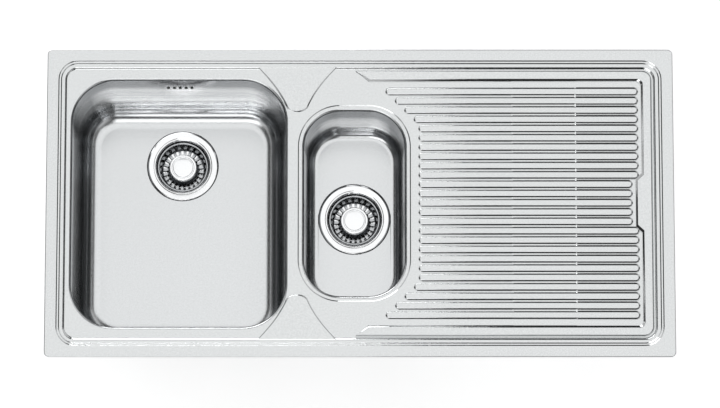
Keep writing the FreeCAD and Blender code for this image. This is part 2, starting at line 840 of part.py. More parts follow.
# Overflow
def overflow_gasket():
    """Rubber frame between the bowl wall and the overflow box."""
    length = overflow_box_length + 2 * overrun
    plate = Part.makeBox(length, overflow_gasket_thickness, overflow_box_height,
                         Vector(main_bowl_x - length / 2, overflow_wall,
                                overflow_z - overflow_box_height / 2))
    window = overflow_slot_pitch * overflow_slot_count
    plate = plate.cut(Part.makeBox(window, 3 * overflow_gasket_thickness, overflow_slot_height + overrun,
                                   Vector(main_bowl_x - window / 2,
                                          overflow_wall - overflow_gasket_thickness,
                                          overflow_z - (overflow_slot_height + overrun) / 2)))
    for x in overflow_stud_places():
        at = Vector(x, overflow_wall - overflow_gasket_thickness, overflow_z)
        plate = plate.cut(Part.makeCylinder(overflow_stud_radius + running_clearance,
                                            3 * overflow_gasket_thickness, at, Vector(0, 1, 0)))
    return leaning(plate)


def overflow_box():
    """Moulded overflow chamber with two ears and a spigot below."""
    wall = overflow_box_wall
    window = overflow_slot_pitch * overflow_slot_count
    base = overflow_z - overflow_box_height / 2
    ear_length = overflow_box_length + 2 * overrun
    made = Part.makeBox(ear_length, overflow_ear_thickness, overflow_box_height,
                        Vector(main_bowl_x - ear_length / 2, overflow_box_y, base))
    chamber_length = window + 2 * wall
    made = made.fuse(Part.makeBox(chamber_length, overflow_box_depth, overflow_box_height,
                                  Vector(main_bowl_x - chamber_length / 2, overflow_box_y, base)))
    upright = [e for e in made.Edges if e.Length > overflow_box_height - overrun
               and abs(e.Vertexes[0].Z - e.Vertexes[1].Z) > overflow_box_height - overrun
               and e.Vertexes[0].Y > overflow_box_y + overflow_box_depth - overrun / 10]
    made = made.makeFillet(overrun, upright)
    made = made.cut(Part.makeBox(window, overflow_box_depth, overflow_box_height - 2 * wall,
                                 Vector(main_bowl_x - window / 2, overflow_box_y - wall, base + wall)))
    for x in overflow_stud_places():
        made = made.cut(Part.makeCylinder(overflow_stud_radius + running_clearance,
                                          3 * overflow_ear_thickness,
                                          Vector(x, overflow_box_y - overflow_ear_thickness, overflow_z),
                                          Vector(0, 1, 0)))
    made = leaning(made)
    spigot_top = base + wall / 2
    foot = base - overflow_spigot_length
    at = Vector(main_bowl_x, hose_y, foot)
    made = made.fuse(Part.makeCylinder(overflow_spigot_radius, spigot_top - foot, at))
    return made.cut(Part.makeCylinder(overflow_spigot_bore, spigot_top - foot + wall, at))


hose_y = overflow_box_y + overflow_ear_thickness + overflow_spigot_radius
hose_top = overflow_z - overflow_box_height / 2 - overflow_spigot_length
inlet_z = main_floor + gasket_low - inlet_below_flange
inlet_y = main_waste_y + inlet_reach


def overflow_nuts():
    """Two small nuts that hold the overflow box on its studs."""
    nuts = []
    for x in overflow_stud_places():
        flat = Part.Face(hexagon(overflow_nut_across_flats, 0.0))
        nut = flat.extrude(Vector(0, 0, overflow_nut_height))
        nut = nut.cut(Part.makeCylinder(overflow_stud_radius + running_clearance,
                                        overflow_nut_height))
        nut.rotate(Vector(0, 0, 0), Vector(1, 0, 0), -90)
        nut.translate(Vector(x, overflow_box_y + overflow_ear_thickness, overflow_z))
        nuts.append(leaning(nut))
    return Part.makeCompound(nuts)


def overflow_hose():
    """Hose from the overflow box down and round into the waste body, collared at both ends."""
    x = main_bowl_x
    bend_y, bend_z = hose_y - hose_bend_radius, inlet_z + hose_bend_radius
    down = Vector(0, 0, -1)
    across = Vector(0, -1, 0)

    def route(radius):
        """Solid of one radius along the whole route."""
        top = Vector(x, hose_y, hose_top)
        drop = Part.makeCylinder(radius, hose_top - bend_z, top, down)
        circle = Part.Wire(Part.makeCircle(radius, Vector(x, hose_y, bend_z), UP))
        bend = Part.Face(circle).revolve(Vector(x, bend_y, bend_z), Vector(1, 0, 0), -90)
        last = Part.makeCylinder(radius, bend_y - inlet_y, Vector(x, bend_y, inlet_z), across)
        return drop.fuse(bend).fuse(last)

    collars = [
        Part.makeCylinder(hose_collar_radius, hose_collar_length, Vector(x, hose_y, hose_top), down),
        Part.makeCylinder(hose_collar_radius, hose_collar_length, Vector(x, inlet_y, inlet_z),
                          across.negative()),
    ]
    return route(hose_radius).multiFuse(collars).cut(route(hose_bore)).removeSplitter()


def union_nut():
    """Hexagonal union nut: thread bore above, lip for the hose's collar below, mouth at height 0."""
    reach = hose_nut_length - hose_collar_length - hose_nut_lip
    low = -hose_collar_length - hose_nut_lip
    nut = prism(hexagon(hose_nut_across_flats, low), hose_nut_length)
    clearance = running_clearance
    nut = nut.cut(Part.makeCylinder(overflow_spigot_radius + clearance,
                                    hose_nut_length, Vector(0, 0, -hose_collar_length - clearance)))
    return nut.cut(Part.makeCylinder(hose_radius + clearance, reach, Vector(0, 0, low - clearance)))


def overflow_union_top():
    return placed(union_nut(), (main_bowl_x, hose_y, hose_top))


def overflow_union_bottom():
    """The same nut, laid over to face the waste body's spigot."""
    nut = union_nut()
    nut.rotate(Vector(0, 0, 0), Vector(0, 0, 1), 30)
    nut.rotate(Vector(0, 0, 0), Vector(1, 0, 0), 90)
    return placed(nut, (main_bowl_x, inlet_y, inlet_z))


# Sound pads
def sound_pad(length, front, x, waste_y, floor):
    """Damping pad glued under a bowl's floor, from near its front to its waste."""
    width = waste_y - flange_radius - pad_waste_gap - front
    outline = rounded_rectangle(length, width, pad_corner_radius, (x, front + width / 2), floor - sheet)
    return prism(outline, -pad_thickness)


def main_sound_pad():
    front = -main_bowl_width / 2 + main_pad_from_front
    return sound_pad(main_pad_length, front, main_bowl_x, main_waste_y, main_floor)


def half_sound_pad():
    front = -half_bowl_width / 2 + half_pad_from_front
    return sound_pad(half_pad_length, front, half_bowl_x, 0.0, half_floor)


# Rim seal, rails and clamps
def rim_seal():
    """Foam strip between the rim and the worktop."""
    outer = deck_ring(seal_inset, deck_corner_radius - seal_inset, 0)
    inner = deck_ring(seal_inset + seal_width, seal_inner_corner_radius, 0)
    height = rim_top - sheet
    return prism(outer, height).cut(prism(inner, height))


rail_foot_low = rim_top - sheet - rail_drop


def rail_blank(length):
    """Folded rail along X on the back side: flange on the rim, web down, foot under the deck."""
    t = rail_sheet
    top = rim_top - sheet
    inner = -rail_web_inset
    outer = inner + t
    points = [
        (outer - t + rail_flange_width, top), (inner, top), (inner, rail_foot_low + t),
        (inner - rail_foot_width, rail_foot_low + t), (inner - rail_foot_width, rail_foot_low),
        (outer, rail_foot_low), (outer, top - t), (outer - t + rail_flange_width, top - t),
    ]
    corners = [Vector(-length / 2, y, z) for y, z in points]
    return Part.Face(Part.makePolygon(corners + corners[:1])).extrude(Vector(length, 0, 0))


def clamp_places():
    """Turn, place and claw heading of every clamp, three along the back and three along the front."""
    y = half_width - clamp_inset
    back = [(share * long_rail_length, y, 0) for share in clamp_shares]
    front = [(share * long_rail_length, -y, 180) for share in clamp_shares]
    return back + front


def long_rail(side):
    """Rail of a long side, with a tapped boss in its foot for each clamp screw."""
    rail = rail_blank(long_rail_length)
    rail.translate(Vector(0, half_width, 0))
    height = rail_sheet + clamp_boss_height
    for share in clamp_shares:
        at = Vector(side * share * long_rail_length, half_width - clamp_inset, rail_foot_low)
        rail = rail.fuse(Part.makeCylinder(clamp_boss_radius, height, at))
        rail = rail.cut(Part.makeCylinder(clamp_screw_radius + running_clearance, height, at))
    if side < 0:
        rail.rotate(Vector(0, 0, 0), UP, 180)
    return rail


def short_rail(side):
    """Rail of a short side."""
    rail = rail_blank(short_rail_length)
    rail.rotate(Vector(0, 0, 0), UP, -90)
    rail.translate(Vector(half_length, 0, 0))
    if side < 0:
        rail.rotate(Vector(0, 0, 0), UP, 180)
    return rail


# Clamp pieces, built about a screw that enters the rail's foot at height 0
def clamp_screw():
    """Screw that climbs in the rail's boss and carries the claw on its head."""
    low = -clamp_screw_hang
    length = clamp_screw_hang + rail_sheet + clamp_boss_height + clamp_screw_end
    made = Part.makeCylinder(clamp_screw_radius, length, Vector(0, 0, low))
    made = made.fuse(Part.makeCylinder(clamp_head_radius, clamp_head_height,
                                       Vector(0, 0, low - clamp_head_height)))
    across = 2 * clamp_head_radius + overrun
    for turn in (0, 90):
        slot = Part.makeBox(across, clamp_slot_width, clamp_slot_depth + overrun,
                            Vector(-across / 2, -clamp_slot_width / 2,
                                   low - clamp_head_height - overrun))
        slot.rotate(Vector(0, 0, 0), UP, turn)
        made = made.cut(slot)
    return made.removeSplitter()


bush_low = -clamp_screw_hang + axial_clearance


def clamp_bush():
    """Swaged bush on the screw's head: the claw swings on its neck, under its lip."""
    neck_top = bush_low + claw_sheet + axial_clearance
    lip_top = neck_top + clamp_bush_lip_height
    points = [
        (clamp_screw_radius + running_clearance, bush_low), (clamp_bush_neck_radius, bush_low),
        (clamp_bush_neck_radius, neck_top),
        (clamp_bush_lip_radius, neck_top), (clamp_bush_lip_radius, lip_top),
        (clamp_screw_radius + running_clearance, lip_top),
    ]
    return revolved(points, (0, 0), 0)


def clamp_claw():
    """Folded claw: eye, tapering arm and an upturned toothed tip."""
    eye, tip = claw_eye_radius, claw_tip_width / 2
    t = claw_sheet
    made = Part.makeCylinder(eye, t, Vector(0, 0, bush_low))
    corners = [Vector(x, y, bush_low) for x, y in
               ((0, -eye), (claw_length, -tip), (claw_length, tip), (0, eye))]
    arm = Part.Face(Part.makePolygon(corners + corners[:1])).extrude(Vector(0, 0, t))
    made = made.fuse(arm)
    pitch = claw_tip_width / claw_tooth_count
    crest = bush_low + t + claw_tip_height
    outline = [(-tip, bush_low)]
    for k in range(claw_tooth_count):
        left = -tip + k * pitch
        outline += [(left, crest - claw_tooth_depth), (left + pitch / 2, crest)]
    outline += [(tip, crest - claw_tooth_depth), (tip, bush_low)]
    points = [Vector(claw_length - t, y, z) for y, z in outline]
    made = made.fuse(Part.Face(Part.makePolygon(points + points[:1])).extrude(Vector(t, 0, 0)))
    bore = Part.makeCylinder(clamp_bush_neck_radius + running_clearance, 2 * t,
                             Vector(0, 0, bush_low - t / 2))
    return made.cut(bore).removeSplitter()


def clamp_part(shape, place):
    """Copy of a clamp piece at one clamp's place."""
    x, y, heading = place
    moved = shape.copy()
    moved.rotate(Vector(0, 0, 0), UP, heading)
    moved.translate(Vector(x, y, rail_foot_low))
    return moved


def strainer_nodes(name, place, inlet):
    """The pieces of one bowl's strainer waste, at the bowl's waste hole."""
    pieces = {
        "strainer_cup": strainer_cup(),
        "flange_gasket": flange_gasket(),
        "waste_screw": waste_screw(),
        "body_gasket": body_gasket(),
        "waste_body": waste_body(inlet),
        "basket": basket(),
        "basket_knob": basket_knob(),
        "basket_stem": basket_stem(),
        "stopper_seal": stopper_seal(),
    }
    return {f"{name}_{piece}": placed(shape, place) for piece, shape in pieces.items()}


def nodes():
    """Every node of the sink by name."""
    made = {
        "sink_deck": sink_deck(),
        "main_bowl": main_bowl(),
        "half_bowl": half_bowl(),
        "rim_seal": rim_seal(),
        "back_rail": long_rail(1),
        "front_rail": long_rail(-1),
        "right_rail": short_rail(1),
        "left_rail": short_rail(-1),
        "main_sound_pad": main_sound_pad(),
        "half_sound_pad": half_sound_pad(),
        "overflow_gasket": overflow_gasket(),
        "overflow_box": overflow_box(),
        "overflow_nuts": overflow_nuts(),
        "overflow_hose": overflow_hose(),
        "overflow_union_top": overflow_union_top(),
        "overflow_union_bottom": overflow_union_bottom(),
    }
    made.update(strainer_nodes("main", (main_bowl_x, main_waste_y, main_floor), True))
    made.update(strainer_nodes("half", (half_bowl_x, 0, half_floor), False))
    screw, bush, claw = clamp_screw(), clamp_bush(), clamp_claw()
    for number, place in enumerate(clamp_places(), start=1):
        made[f"clamp_{number}_screw"] = clamp_part(screw, place)
        made[f"clamp_{number}_bush"] = clamp_part(bush, place)
        made[f"clamp_{number}_claw"] = clamp_part(claw, place)
    return made


for node_name, node_shape in nodes().items():
    node_shape.exportStep(f"parts/{node_name}.step")
    solids = node_shape.Solids
    print(node_name, len(solids), node_shape.isValid(), round(node_shape.Volume))
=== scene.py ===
"""Looks of an inset kitchen sink in stainless steel, laid out as a Blender add-on.

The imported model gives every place. Pieces are modelled in millimetres and brought to metres
as each one is finished.
"""

from math import asin, atan2, cos, pi, radians, sin, tan

import bmesh
import bpy
from bpy.props import FloatProperty, FloatVectorProperty, IntProperty, PointerProperty
from mathutils import Matrix, Vector


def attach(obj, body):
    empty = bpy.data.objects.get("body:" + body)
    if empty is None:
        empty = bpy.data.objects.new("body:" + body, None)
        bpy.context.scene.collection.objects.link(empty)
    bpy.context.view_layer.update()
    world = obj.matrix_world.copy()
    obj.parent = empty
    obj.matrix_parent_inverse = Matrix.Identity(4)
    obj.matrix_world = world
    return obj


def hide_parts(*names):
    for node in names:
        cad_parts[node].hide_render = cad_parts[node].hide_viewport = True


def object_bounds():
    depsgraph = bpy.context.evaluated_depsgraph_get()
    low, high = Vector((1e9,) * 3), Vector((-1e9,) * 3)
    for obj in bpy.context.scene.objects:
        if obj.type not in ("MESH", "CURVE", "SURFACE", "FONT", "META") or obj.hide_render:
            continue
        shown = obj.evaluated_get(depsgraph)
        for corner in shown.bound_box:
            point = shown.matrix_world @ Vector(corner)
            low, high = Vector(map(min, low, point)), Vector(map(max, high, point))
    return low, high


bl_info = {
    "name": "Inset kitchen sink",
    "version": (1, 0, 0),
    "blender": (4, 5, 0),
    "location": "3D View > Sidebar > Sink",
    "description": "Models the sheet metal, wastes and fittings of an inset sink",
    "category": "Object",
}

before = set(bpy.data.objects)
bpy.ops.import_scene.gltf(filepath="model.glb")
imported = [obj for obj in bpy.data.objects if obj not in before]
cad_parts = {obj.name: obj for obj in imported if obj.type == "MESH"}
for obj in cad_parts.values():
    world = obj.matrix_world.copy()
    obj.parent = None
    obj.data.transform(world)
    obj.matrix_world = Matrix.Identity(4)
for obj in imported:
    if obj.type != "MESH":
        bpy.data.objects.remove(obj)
CAD_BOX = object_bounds()
UP = Vector((0, 0, 1))
TURN = 2 * pi
QUARTER = TURN / 4

# Sizes of the half bowl, in metres, where they differ from the main bowl's
HALF_BOWL = {"x": -0.009, "long_side": 0.160, "short_side": 0.300, "corner": 0.058,
             "depth": 0.1271, "floor_round": 0.015, "waste_y": 0.0, "step": 0.005,
             "step_drop": 0.001}
# Lamps by property: place, aim, and width and depth of the box, in metres
LAMPS = {
    "overhead": ((0.2, 0.15, 2.6), (0.2, 0.15, 0), (3.0, 2.6)),
    "front": ((-0.95, -1.76, 2.18), (-0.95, 0, 0), (2.0, 1.1)),
    "back": ((-0.95, 2.75, 1.2), (-0.95, 0, 0), (2.0, 1.2)),
    "right": ((2.2, 0.2, 1.72), (0, 0, 0), (2.4, 0.25)),
    "left": ((-2.2, 0.2, 1.72), (0, 0, 0), (2.4, 0.25)),
}
CAMERA_AIM = Vector((0, -0.0028, 0.0025))
SENSOR_WIDTH = 36

# Steps in which curves are drawn
SIDE_STEPS, TIP_STEPS = 16, 12
RIM_CORNER_STEPS, MOUTH_CORNER_STEPS, BOWL_CORNER_STEPS = 12, 16, 20
LAST_ROW = 9
# How far the rim's stations at a tap ledge's root lean with the slope
ROOT_LEAN = 0.9
# Width of the flat round a bowl's rolled edge, and of the slope of its sunken step
MOUTH_FLAT, STEP_SLOPE = 0.6, 1.5
# One turn of the outlet's thread: height over its radius, and way along it
THREAD = ((0, 0), (1.1, 0.9), (1.1, 1.5), (0, 2.4))
BASKET_SHEET = 0.8


def lengths(**rows):
    """Lengths of a property group: (description, millimetres) by name, kept in metres."""
    return {name: FloatProperty(name=name.replace("_", " ").capitalize(), description=about,
                                default=millimetres / 1000, unit="LENGTH", precision=5)
            for name, (about, millimetres) in rows.items()}


def count(label, about, number):
    """One whole number of a property group."""
    return IntProperty(name=label, description=about, default=number, min=1)


def amount(label, about, value, **more):
    """One number of a property group that isn't a length."""
    return FloatProperty(name=label, description=about, default=value, min=0, **more)


class DeckSizes(bpy.types.PropertyGroup):
    """Sizes of the pressed deck."""
    __annotations__ = lengths(
        long_side=("Deck from end to end", 1000),
        short_side=("Deck from front to back", 500),
        sheet=("Thickness of the steel sheet", 1),
        rim_top=("Upper face of the rim over the worktop", 2.5),
        lip_gap=("Gap between rim and worktop", 0.2),
        edge_corner=("Corner radius of the deck's edge", 8),
        edge_round=("Radius where the rim turns down", 1.3),
        rim_width=("Flat rim from the edge to the first slope", 18.0),
        rim_corner=("Corner radius of the rim's inner line", 31),
        rim_slope=("Width of the first slope, with its two steps", 5.6),
        rim_step=("Width of each of its two steps", 1.65),
        rim_drop=("Fall of the first slope", 2.5),
        ledge=("Width of the flat between the two slopes", 4.9),
        basin_slope=("Width of the second slope", 3.2),
        basin_drop=("Fall of the second slope", 2.4),
        bend=("Half the width of a bend beside the rim", 1.1),
        fine_bend=("Half the width of a bend on ribs and steps", 0.5),
        guard=("Flat that keeps a bend's shading off the rest", 0.35),
        fine_guard=("The same beside a tap ledge", 0.245))


class DrainerSizes(bpy.types.PropertyGroup):
    """Sizes of the ribbed drainer and of the tap ledges."""
    __annotations__ = lengths(
        rib_pitch=("From one rib to the next", 15.15),
        rib_top=("Width of a rib's flat top", 8.2),
        rib_height=("Height of a rib over the lowest floor", 1.75),
        rib_side=("Width of a rib's slope", 1.9),
        rib_far_side=("Width of a rib's slope over the highest floor", 2.3),
        rib_left=("Left end of the long ribs", 93.5),
        rib_right=("Right end of the ribs", 444),
        rib_stair=("How much sooner each outer rib starts", 15),
        rib_setback=("How much shorter the notch ribs are", 10),
        terrace_rise=("Height of each step in the floor", 0.27),
        terrace_ramp=("Width of each step's slope", 1.5),
        terrace_first=("Where the first step is up", 243.5),
        terrace_second=("Where the second step is up", 344.5),
        band_inset=("From the deck's edge to the border", 36),
        band_width=("Width of the border's flat top", 11.5),
        band_height=("Height of the border", 3),
        band_corner=("Radius of the border's outer corners", 13.5),
        band_inner_corner=("Radius of its inner corners", 9),
        band_outer_slope=("Width of its outer slope", 1.5),
        band_inner_slope=("Width of its inner slope", 4),
        band_left=("Left tips of the border", -5),
        band_bevel=("Length of the slanted left ends", 21),
        notch_half=("Half the length of the wider pad", 36),
        notch_bevel=("Length of the pad's slanted ends", 9),
        ledge_x=("Middle of the tap ledges", -100),
        ledge_half=("Half width of a tap ledge at the rim", 58.7),
        ledge_tip=("Half width of a tap ledge at its tip", 14.7),
        ledge_reach=("From the rim's foot to the tip", 68.5),
        ledge_tip_round=("Depth of the rounded tip", 6),
        ledge_height=("Height of a tap ledge", 1.7),
        ledge_slope=("Width of a tap ledge's slope", 1.3),
        ledge_left_bow=("How far a tap ledge's left side is hollow", 4.2),
        ledge_right_bow=("How far a tap ledge's right side is hollow", 4.5))
    rib_count: count("Ribs", "How many ribs the drainer has", 25)
    long_ribs: count("Long ribs", "Ribs that reach the half bowl's side", 17)
    notch_ribs: count("Notch ribs", "Ribs cut short at the border's pad", 5)


class BowlSizes(bpy.types.PropertyGroup):
    """Sizes of one bowl."""
    __annotations__ = lengths(
        x=("Middle of the bowl along X", -289),
        long_side=("Inside length along X", 340),
        short_side=("Inside width along Y", 400),
        corner=("Corner radius at the top", 68),
        depth=("From the deck to the floor", 182.1),
        floor_round=("Radius between wall and floor", 30),
        waste_y=("Middle of the waste along Y", 100),
        step=("Width of the sunken step round the mouth", 0),
        step_drop=("Depth of the step round the mouth", 0),
        roll=("Radius of the rolled edge", 5))
    draft: amount("Draft", "Lean of the walls", radians(3), subtype="ANGLE")


class WasteSizes(bpy.types.PropertyGroup):
    """Sizes of the wastes, with heights from the bowl's floor, and of the overflow."""
    __annotations__ = lengths(
        recess=("Radius of the recess in the bowl's floor", 57.6),
        recess_depth=("Depth of the recess", 2.2),
        hole=("Radius of the hole in the bowl", 45),
        flange=("Outer radius of the flange", 57),
        cup=("Outer radius of the cup", 43),
        cup_depth=("Depth of the cup", 41),
        outlet=("Radius of the bridged outlet", 20),
        bridge=("Width of the outlet's bridges", 9),
        sheet=("Thickness of the cup's steel", 1),
        basket_rim=("Outer radius of the basket", 41),
        rim_z=("Height of the basket's rim", -7),
        basket_floor=("Underside of the basket's plate", -35),
        knuckle=("Height of the slotted cone", 0.8),
        wall_foot=("Radius at the foot of the wall", 34.2),
        slot_inner=("Inner radius of the slots", 24),
        slot_outer=("Outer radius of the slots", 33),
        knob=("Radius of the knob's cap", 22.2),
        neck=("Radius of the knob's neck", 8),
        neck_height=("Height of the knob's neck", 15),
        knob_height=("Height of the knob's cap", 9),
        groove=("Radius of the groove in the cap", 17),
        groove_half=("Half the width of the groove", 1.2),
        body_top=("Top of the waste body under the floor", 6.2),
        body_flange=("Thickness of the waste body's flange", 3),
        barrel_radius=("Outer radius of the waste body", 48.5),
        barrel=("Height of the waste body's barrel", 52),
        cone=("Height of the waste body's cone", 10),
        outlet_thread=("Radius of the outlet under its thread", 23.9),
        outlet_long=("Length of the threaded outlet", 25),
        thread_pitch=("From one turn of the thread to the next", 3.4),
        overflow_drop=("Middle of the slots under the basin", 42.1),
        overflow_panel=("Half height of the flat round the slots", 11.2),
        slot_tall=("Height of one slot", 14),
        slot_wide=("Width of one slot", 4.5),
        slot_pitch=("From one slot to the next", 9.4))
    slots: count("Slots", "How many slots the basket has", 24)
    gussets: count("Gussets", "Ribs under the waste body's flange", 12)
    overflow_slots: count("Overflow slots", "How many slots the overflow has", 5)


class HoseSizes(bpy.types.PropertyGroup):
    """Sizes of the overflow hose."""
    __annotations__ = lengths(
        x=("Middle of the hose along X", -289),
        back=("Middle of the upright run along Y", 216.1),
        top=("Upper end of the hose", -77.5),
        inlet_y=("Lower end of the hose along Y", 162),
        inlet_z=("Middle of the lower run", -212.7),
        bend=("Radius of the bend", 38),
        radius=("Outer radius", 10.5),
        groove=("Depth of the corrugation", 1.3),
        pitch=("From one corrugation to the next", 4))


class StageSizes(bpy.types.PropertyGroup):
    """Floor, camera and lights."""
    __annotations__ = lengths(
        camera_far=("Camera from the deck's middle", 8000),
        seen_width=("Width of the view at the deck", 1145))
    floor_colour: FloatVectorProperty(name="Floor", description="Colour of the floor",
                                      subtype="COLOR", size=3, default=(0.8, 0.8, 0.8),
                                      min=0, max=1)
    floor_lift: amount("Floor lift", "How much paler the floor looks than its paint", 0.585)
    room_grey: amount("Room", "How bright the room is beside the lamps", 0.03)
    room_corners: amount("Room corners", "How bright the room's corners are", 0.8)
    overhead: amount("Overhead lamp", "Soft box over the deck", 30, unit="POWER")
    front: amount("Front lamp", "Soft box over the front", 16, unit="POWER")
    back: amount("Back lamp", "Low soft box behind the deck", 34, unit="POWER")
    right: amount("Right lamp", "Narrow soft box on the right", 1.5, unit="POWER")
    left: amount("Left lamp", "Narrow soft box on the left", 1.5, unit="POWER")
    camera_lift: amount("Camera elevation", "Angle of view above the deck", radians(78),
                        subtype="ANGLE")


class Millimetres:
    """A property group's lengths in millimetres, read by the same names."""

    def __init__(self, group):
        for name in group.__annotations__:
            value = getattr(group, name)
            scale = 1000 if group.bl_rna.properties[name].unit == "LENGTH" else 1
            setattr(self, name, value * scale if isinstance(value, float) else value)


def read_sizes(scene, *names):
    """The named property groups in millimetres."""
    return [Millimetres(getattr(scene, f"sink_{name}")) for name in names]


def basin_height(deck):
    """Height of the basin's flat."""
    return deck.rim_top - deck.rim_drop - deck.basin_drop


# Rows and outlines
def slope_rows(width, drop, bend, guard):
    """Ten rows (run, fall) across a slope with rounded bends and a narrow flat beside each."""
    steep = drop / width
    rows = [(-bend - guard, 0.0)]
    for part in (-1, -1 / 3, 1 / 3, 1):
        rows.append((bend * part, steep * bend * (part + 1) ** 2 / 4))
    return rows + [(width - run, drop - fall) for run, fall in reversed(rows)]


def rounded_outline(half_x, half_y, radius, steps, centre=(0, 0), xs=()):
    """Rounded rectangle from four quarter arcs, with stations along its back and front sides."""
    points = []
    for quarter, (along, across) in enumerate(((1, 1), (-1, 1), (-1, -1), (1, -1))):
        x, y = centre[0] + along * (half_x - radius), centre[1] + across * (half_y - radius)
        turns = [(quarter + k / steps) * QUARTER for k in range(steps + 1)]
        points += [Vector((x + radius * cos(t), y + radius * sin(t), 0)) for t in turns]
        if quarter in (0, 2):
            points += [Vector((x, centre[1] + across * half_y, 0)) for x in xs[::across]]
    return points


def rounded_path(corners, steps):
    """Flat points through (x, y, radius) corners, each rounded by its own radius."""
    points = []
    for k, (x, y, radius) in enumerate(corners):
        here = Vector((x, y))
        if not radius:
            points.append(here)
            continue
        back = (Vector(corners[k - 1][:2]) - here).normalized()
        ahead = (Vector(corners[(k + 1) % len(corners)][:2]) - here).normalized()
        opening = back.angle(ahead) / 2
        reach = radius / tan(opening)
        hub = here + (back + ahead).normalized() * (radius / sin(opening))
        start, end = here + back * reach - hub, here + ahead * reach - hub
        sweep = -start.angle_signed(end)
        for step in range(steps + 1):
            points.append(hub + Matrix.Rotation(sweep * step / steps, 2) @ start)
    return points


def at_height(points, z):
    """The same points at one height."""
    return [Vector((p.x, p.y, z)) for p in points]


def skin(bm, rows, closed=True):
    """Surface through rows of matching points: the first row's edges are extruded row by row."""
    ring = [bm.verts.new(p) for p in rows[0]]
    edges = [bm.edges.new(pair) for pair in zip(ring, ring[1:] + ring[:1] * closed)]
    for row in rows[1:]:
        made = bmesh.ops.extrude_edge_only(bm, edges=edges)["geom"]
        fresh = {item for item in made if isinstance(item, bmesh.types.BMVert)}
        ahead = []
        for vert, place in zip(ring, row):
            twin = next(edge.other_vert(vert) for edge in vert.link_edges
                        if edge.other_vert(vert) in fresh)
            twin.co = place
            ahead.append(twin)
        ring = ahead
        edges = [item for item in made if isinstance(item, bmesh.types.BMEdge)
                 and item.verts[0] in fresh and item.verts[1] in fresh]


def fill(bm, chosen):
    """Flat faces inside the open edges that a test picks by their two ends."""
    edges = [e for e in bm.edges if len(e.link_faces) < 2 and all(chosen(v.co) for v in e.verts)]
    bmesh.ops.triangle_fill(bm, edges=edges, use_beauty=True, normal=UP)


def weld(bm):
    """Joins points that lie together."""
    bmesh.ops.remove_doubles(bm, verts=bm.verts, dist=0.002)


def close_up(bm):
    """Welds a closed piece and turns its faces outward."""
    weld(bm)
    bmesh.ops.recalc_face_normals(bm, faces=bm.faces)
    return bm


def sheet_piece(bm, thickness):
    """Turns an open sheet so that its widest face looks up, and gives it its thickness."""
    bmesh.ops.recalc_face_normals(bm, faces=bm.faces)
    widest = max(bm.faces, key=lambda face: face.calc_area() * abs(face.normal.z))
    if widest.normal.z < 0:
        bmesh.ops.reverse_faces(bm, faces=bm.faces)
    bmesh.ops.solidify(bm, geom=bm.faces[:], thickness=thickness)
    return bm


def level(z):
    """Test for points at one height."""
    return lambda point: abs(point.z - z) < 0.01


def place_object(name, data, location=(0, 0, 0), rotation=(0, 0, 0)):
    """Object in the scene that shows a mesh, a lamp or a camera."""
    made = bpy.data.objects.new(name, data)
    made.location, made.rotation_euler = location, rotation
    bpy.context.scene.collection.objects.link(made)
    return made


def mesh_object(name, bm, finish):
    """Object of one mesh and one finish."""
    mesh = bpy.data.meshes.new(name)
    bm.to_mesh(mesh)
    bm.free()
    mesh.materials.append(finish)
    return place_object(name, mesh)


def add_piece(name, bm, finish, body, replaced=(), smooth=35):
    """Finished object of one piece: metres, smooth but for its sharp edges, riding its body."""
    bmesh.ops.scale(bm, vec=(0.001, 0.001, 0.001), verts=bm.verts)
    piece = mesh_object(name, bm, finish)
    piece.data.shade_smooth()
    piece.data.set_sharp_from_angle(angle=radians(smooth))
    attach(piece, body)
    if replaced:
        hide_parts(*replaced)


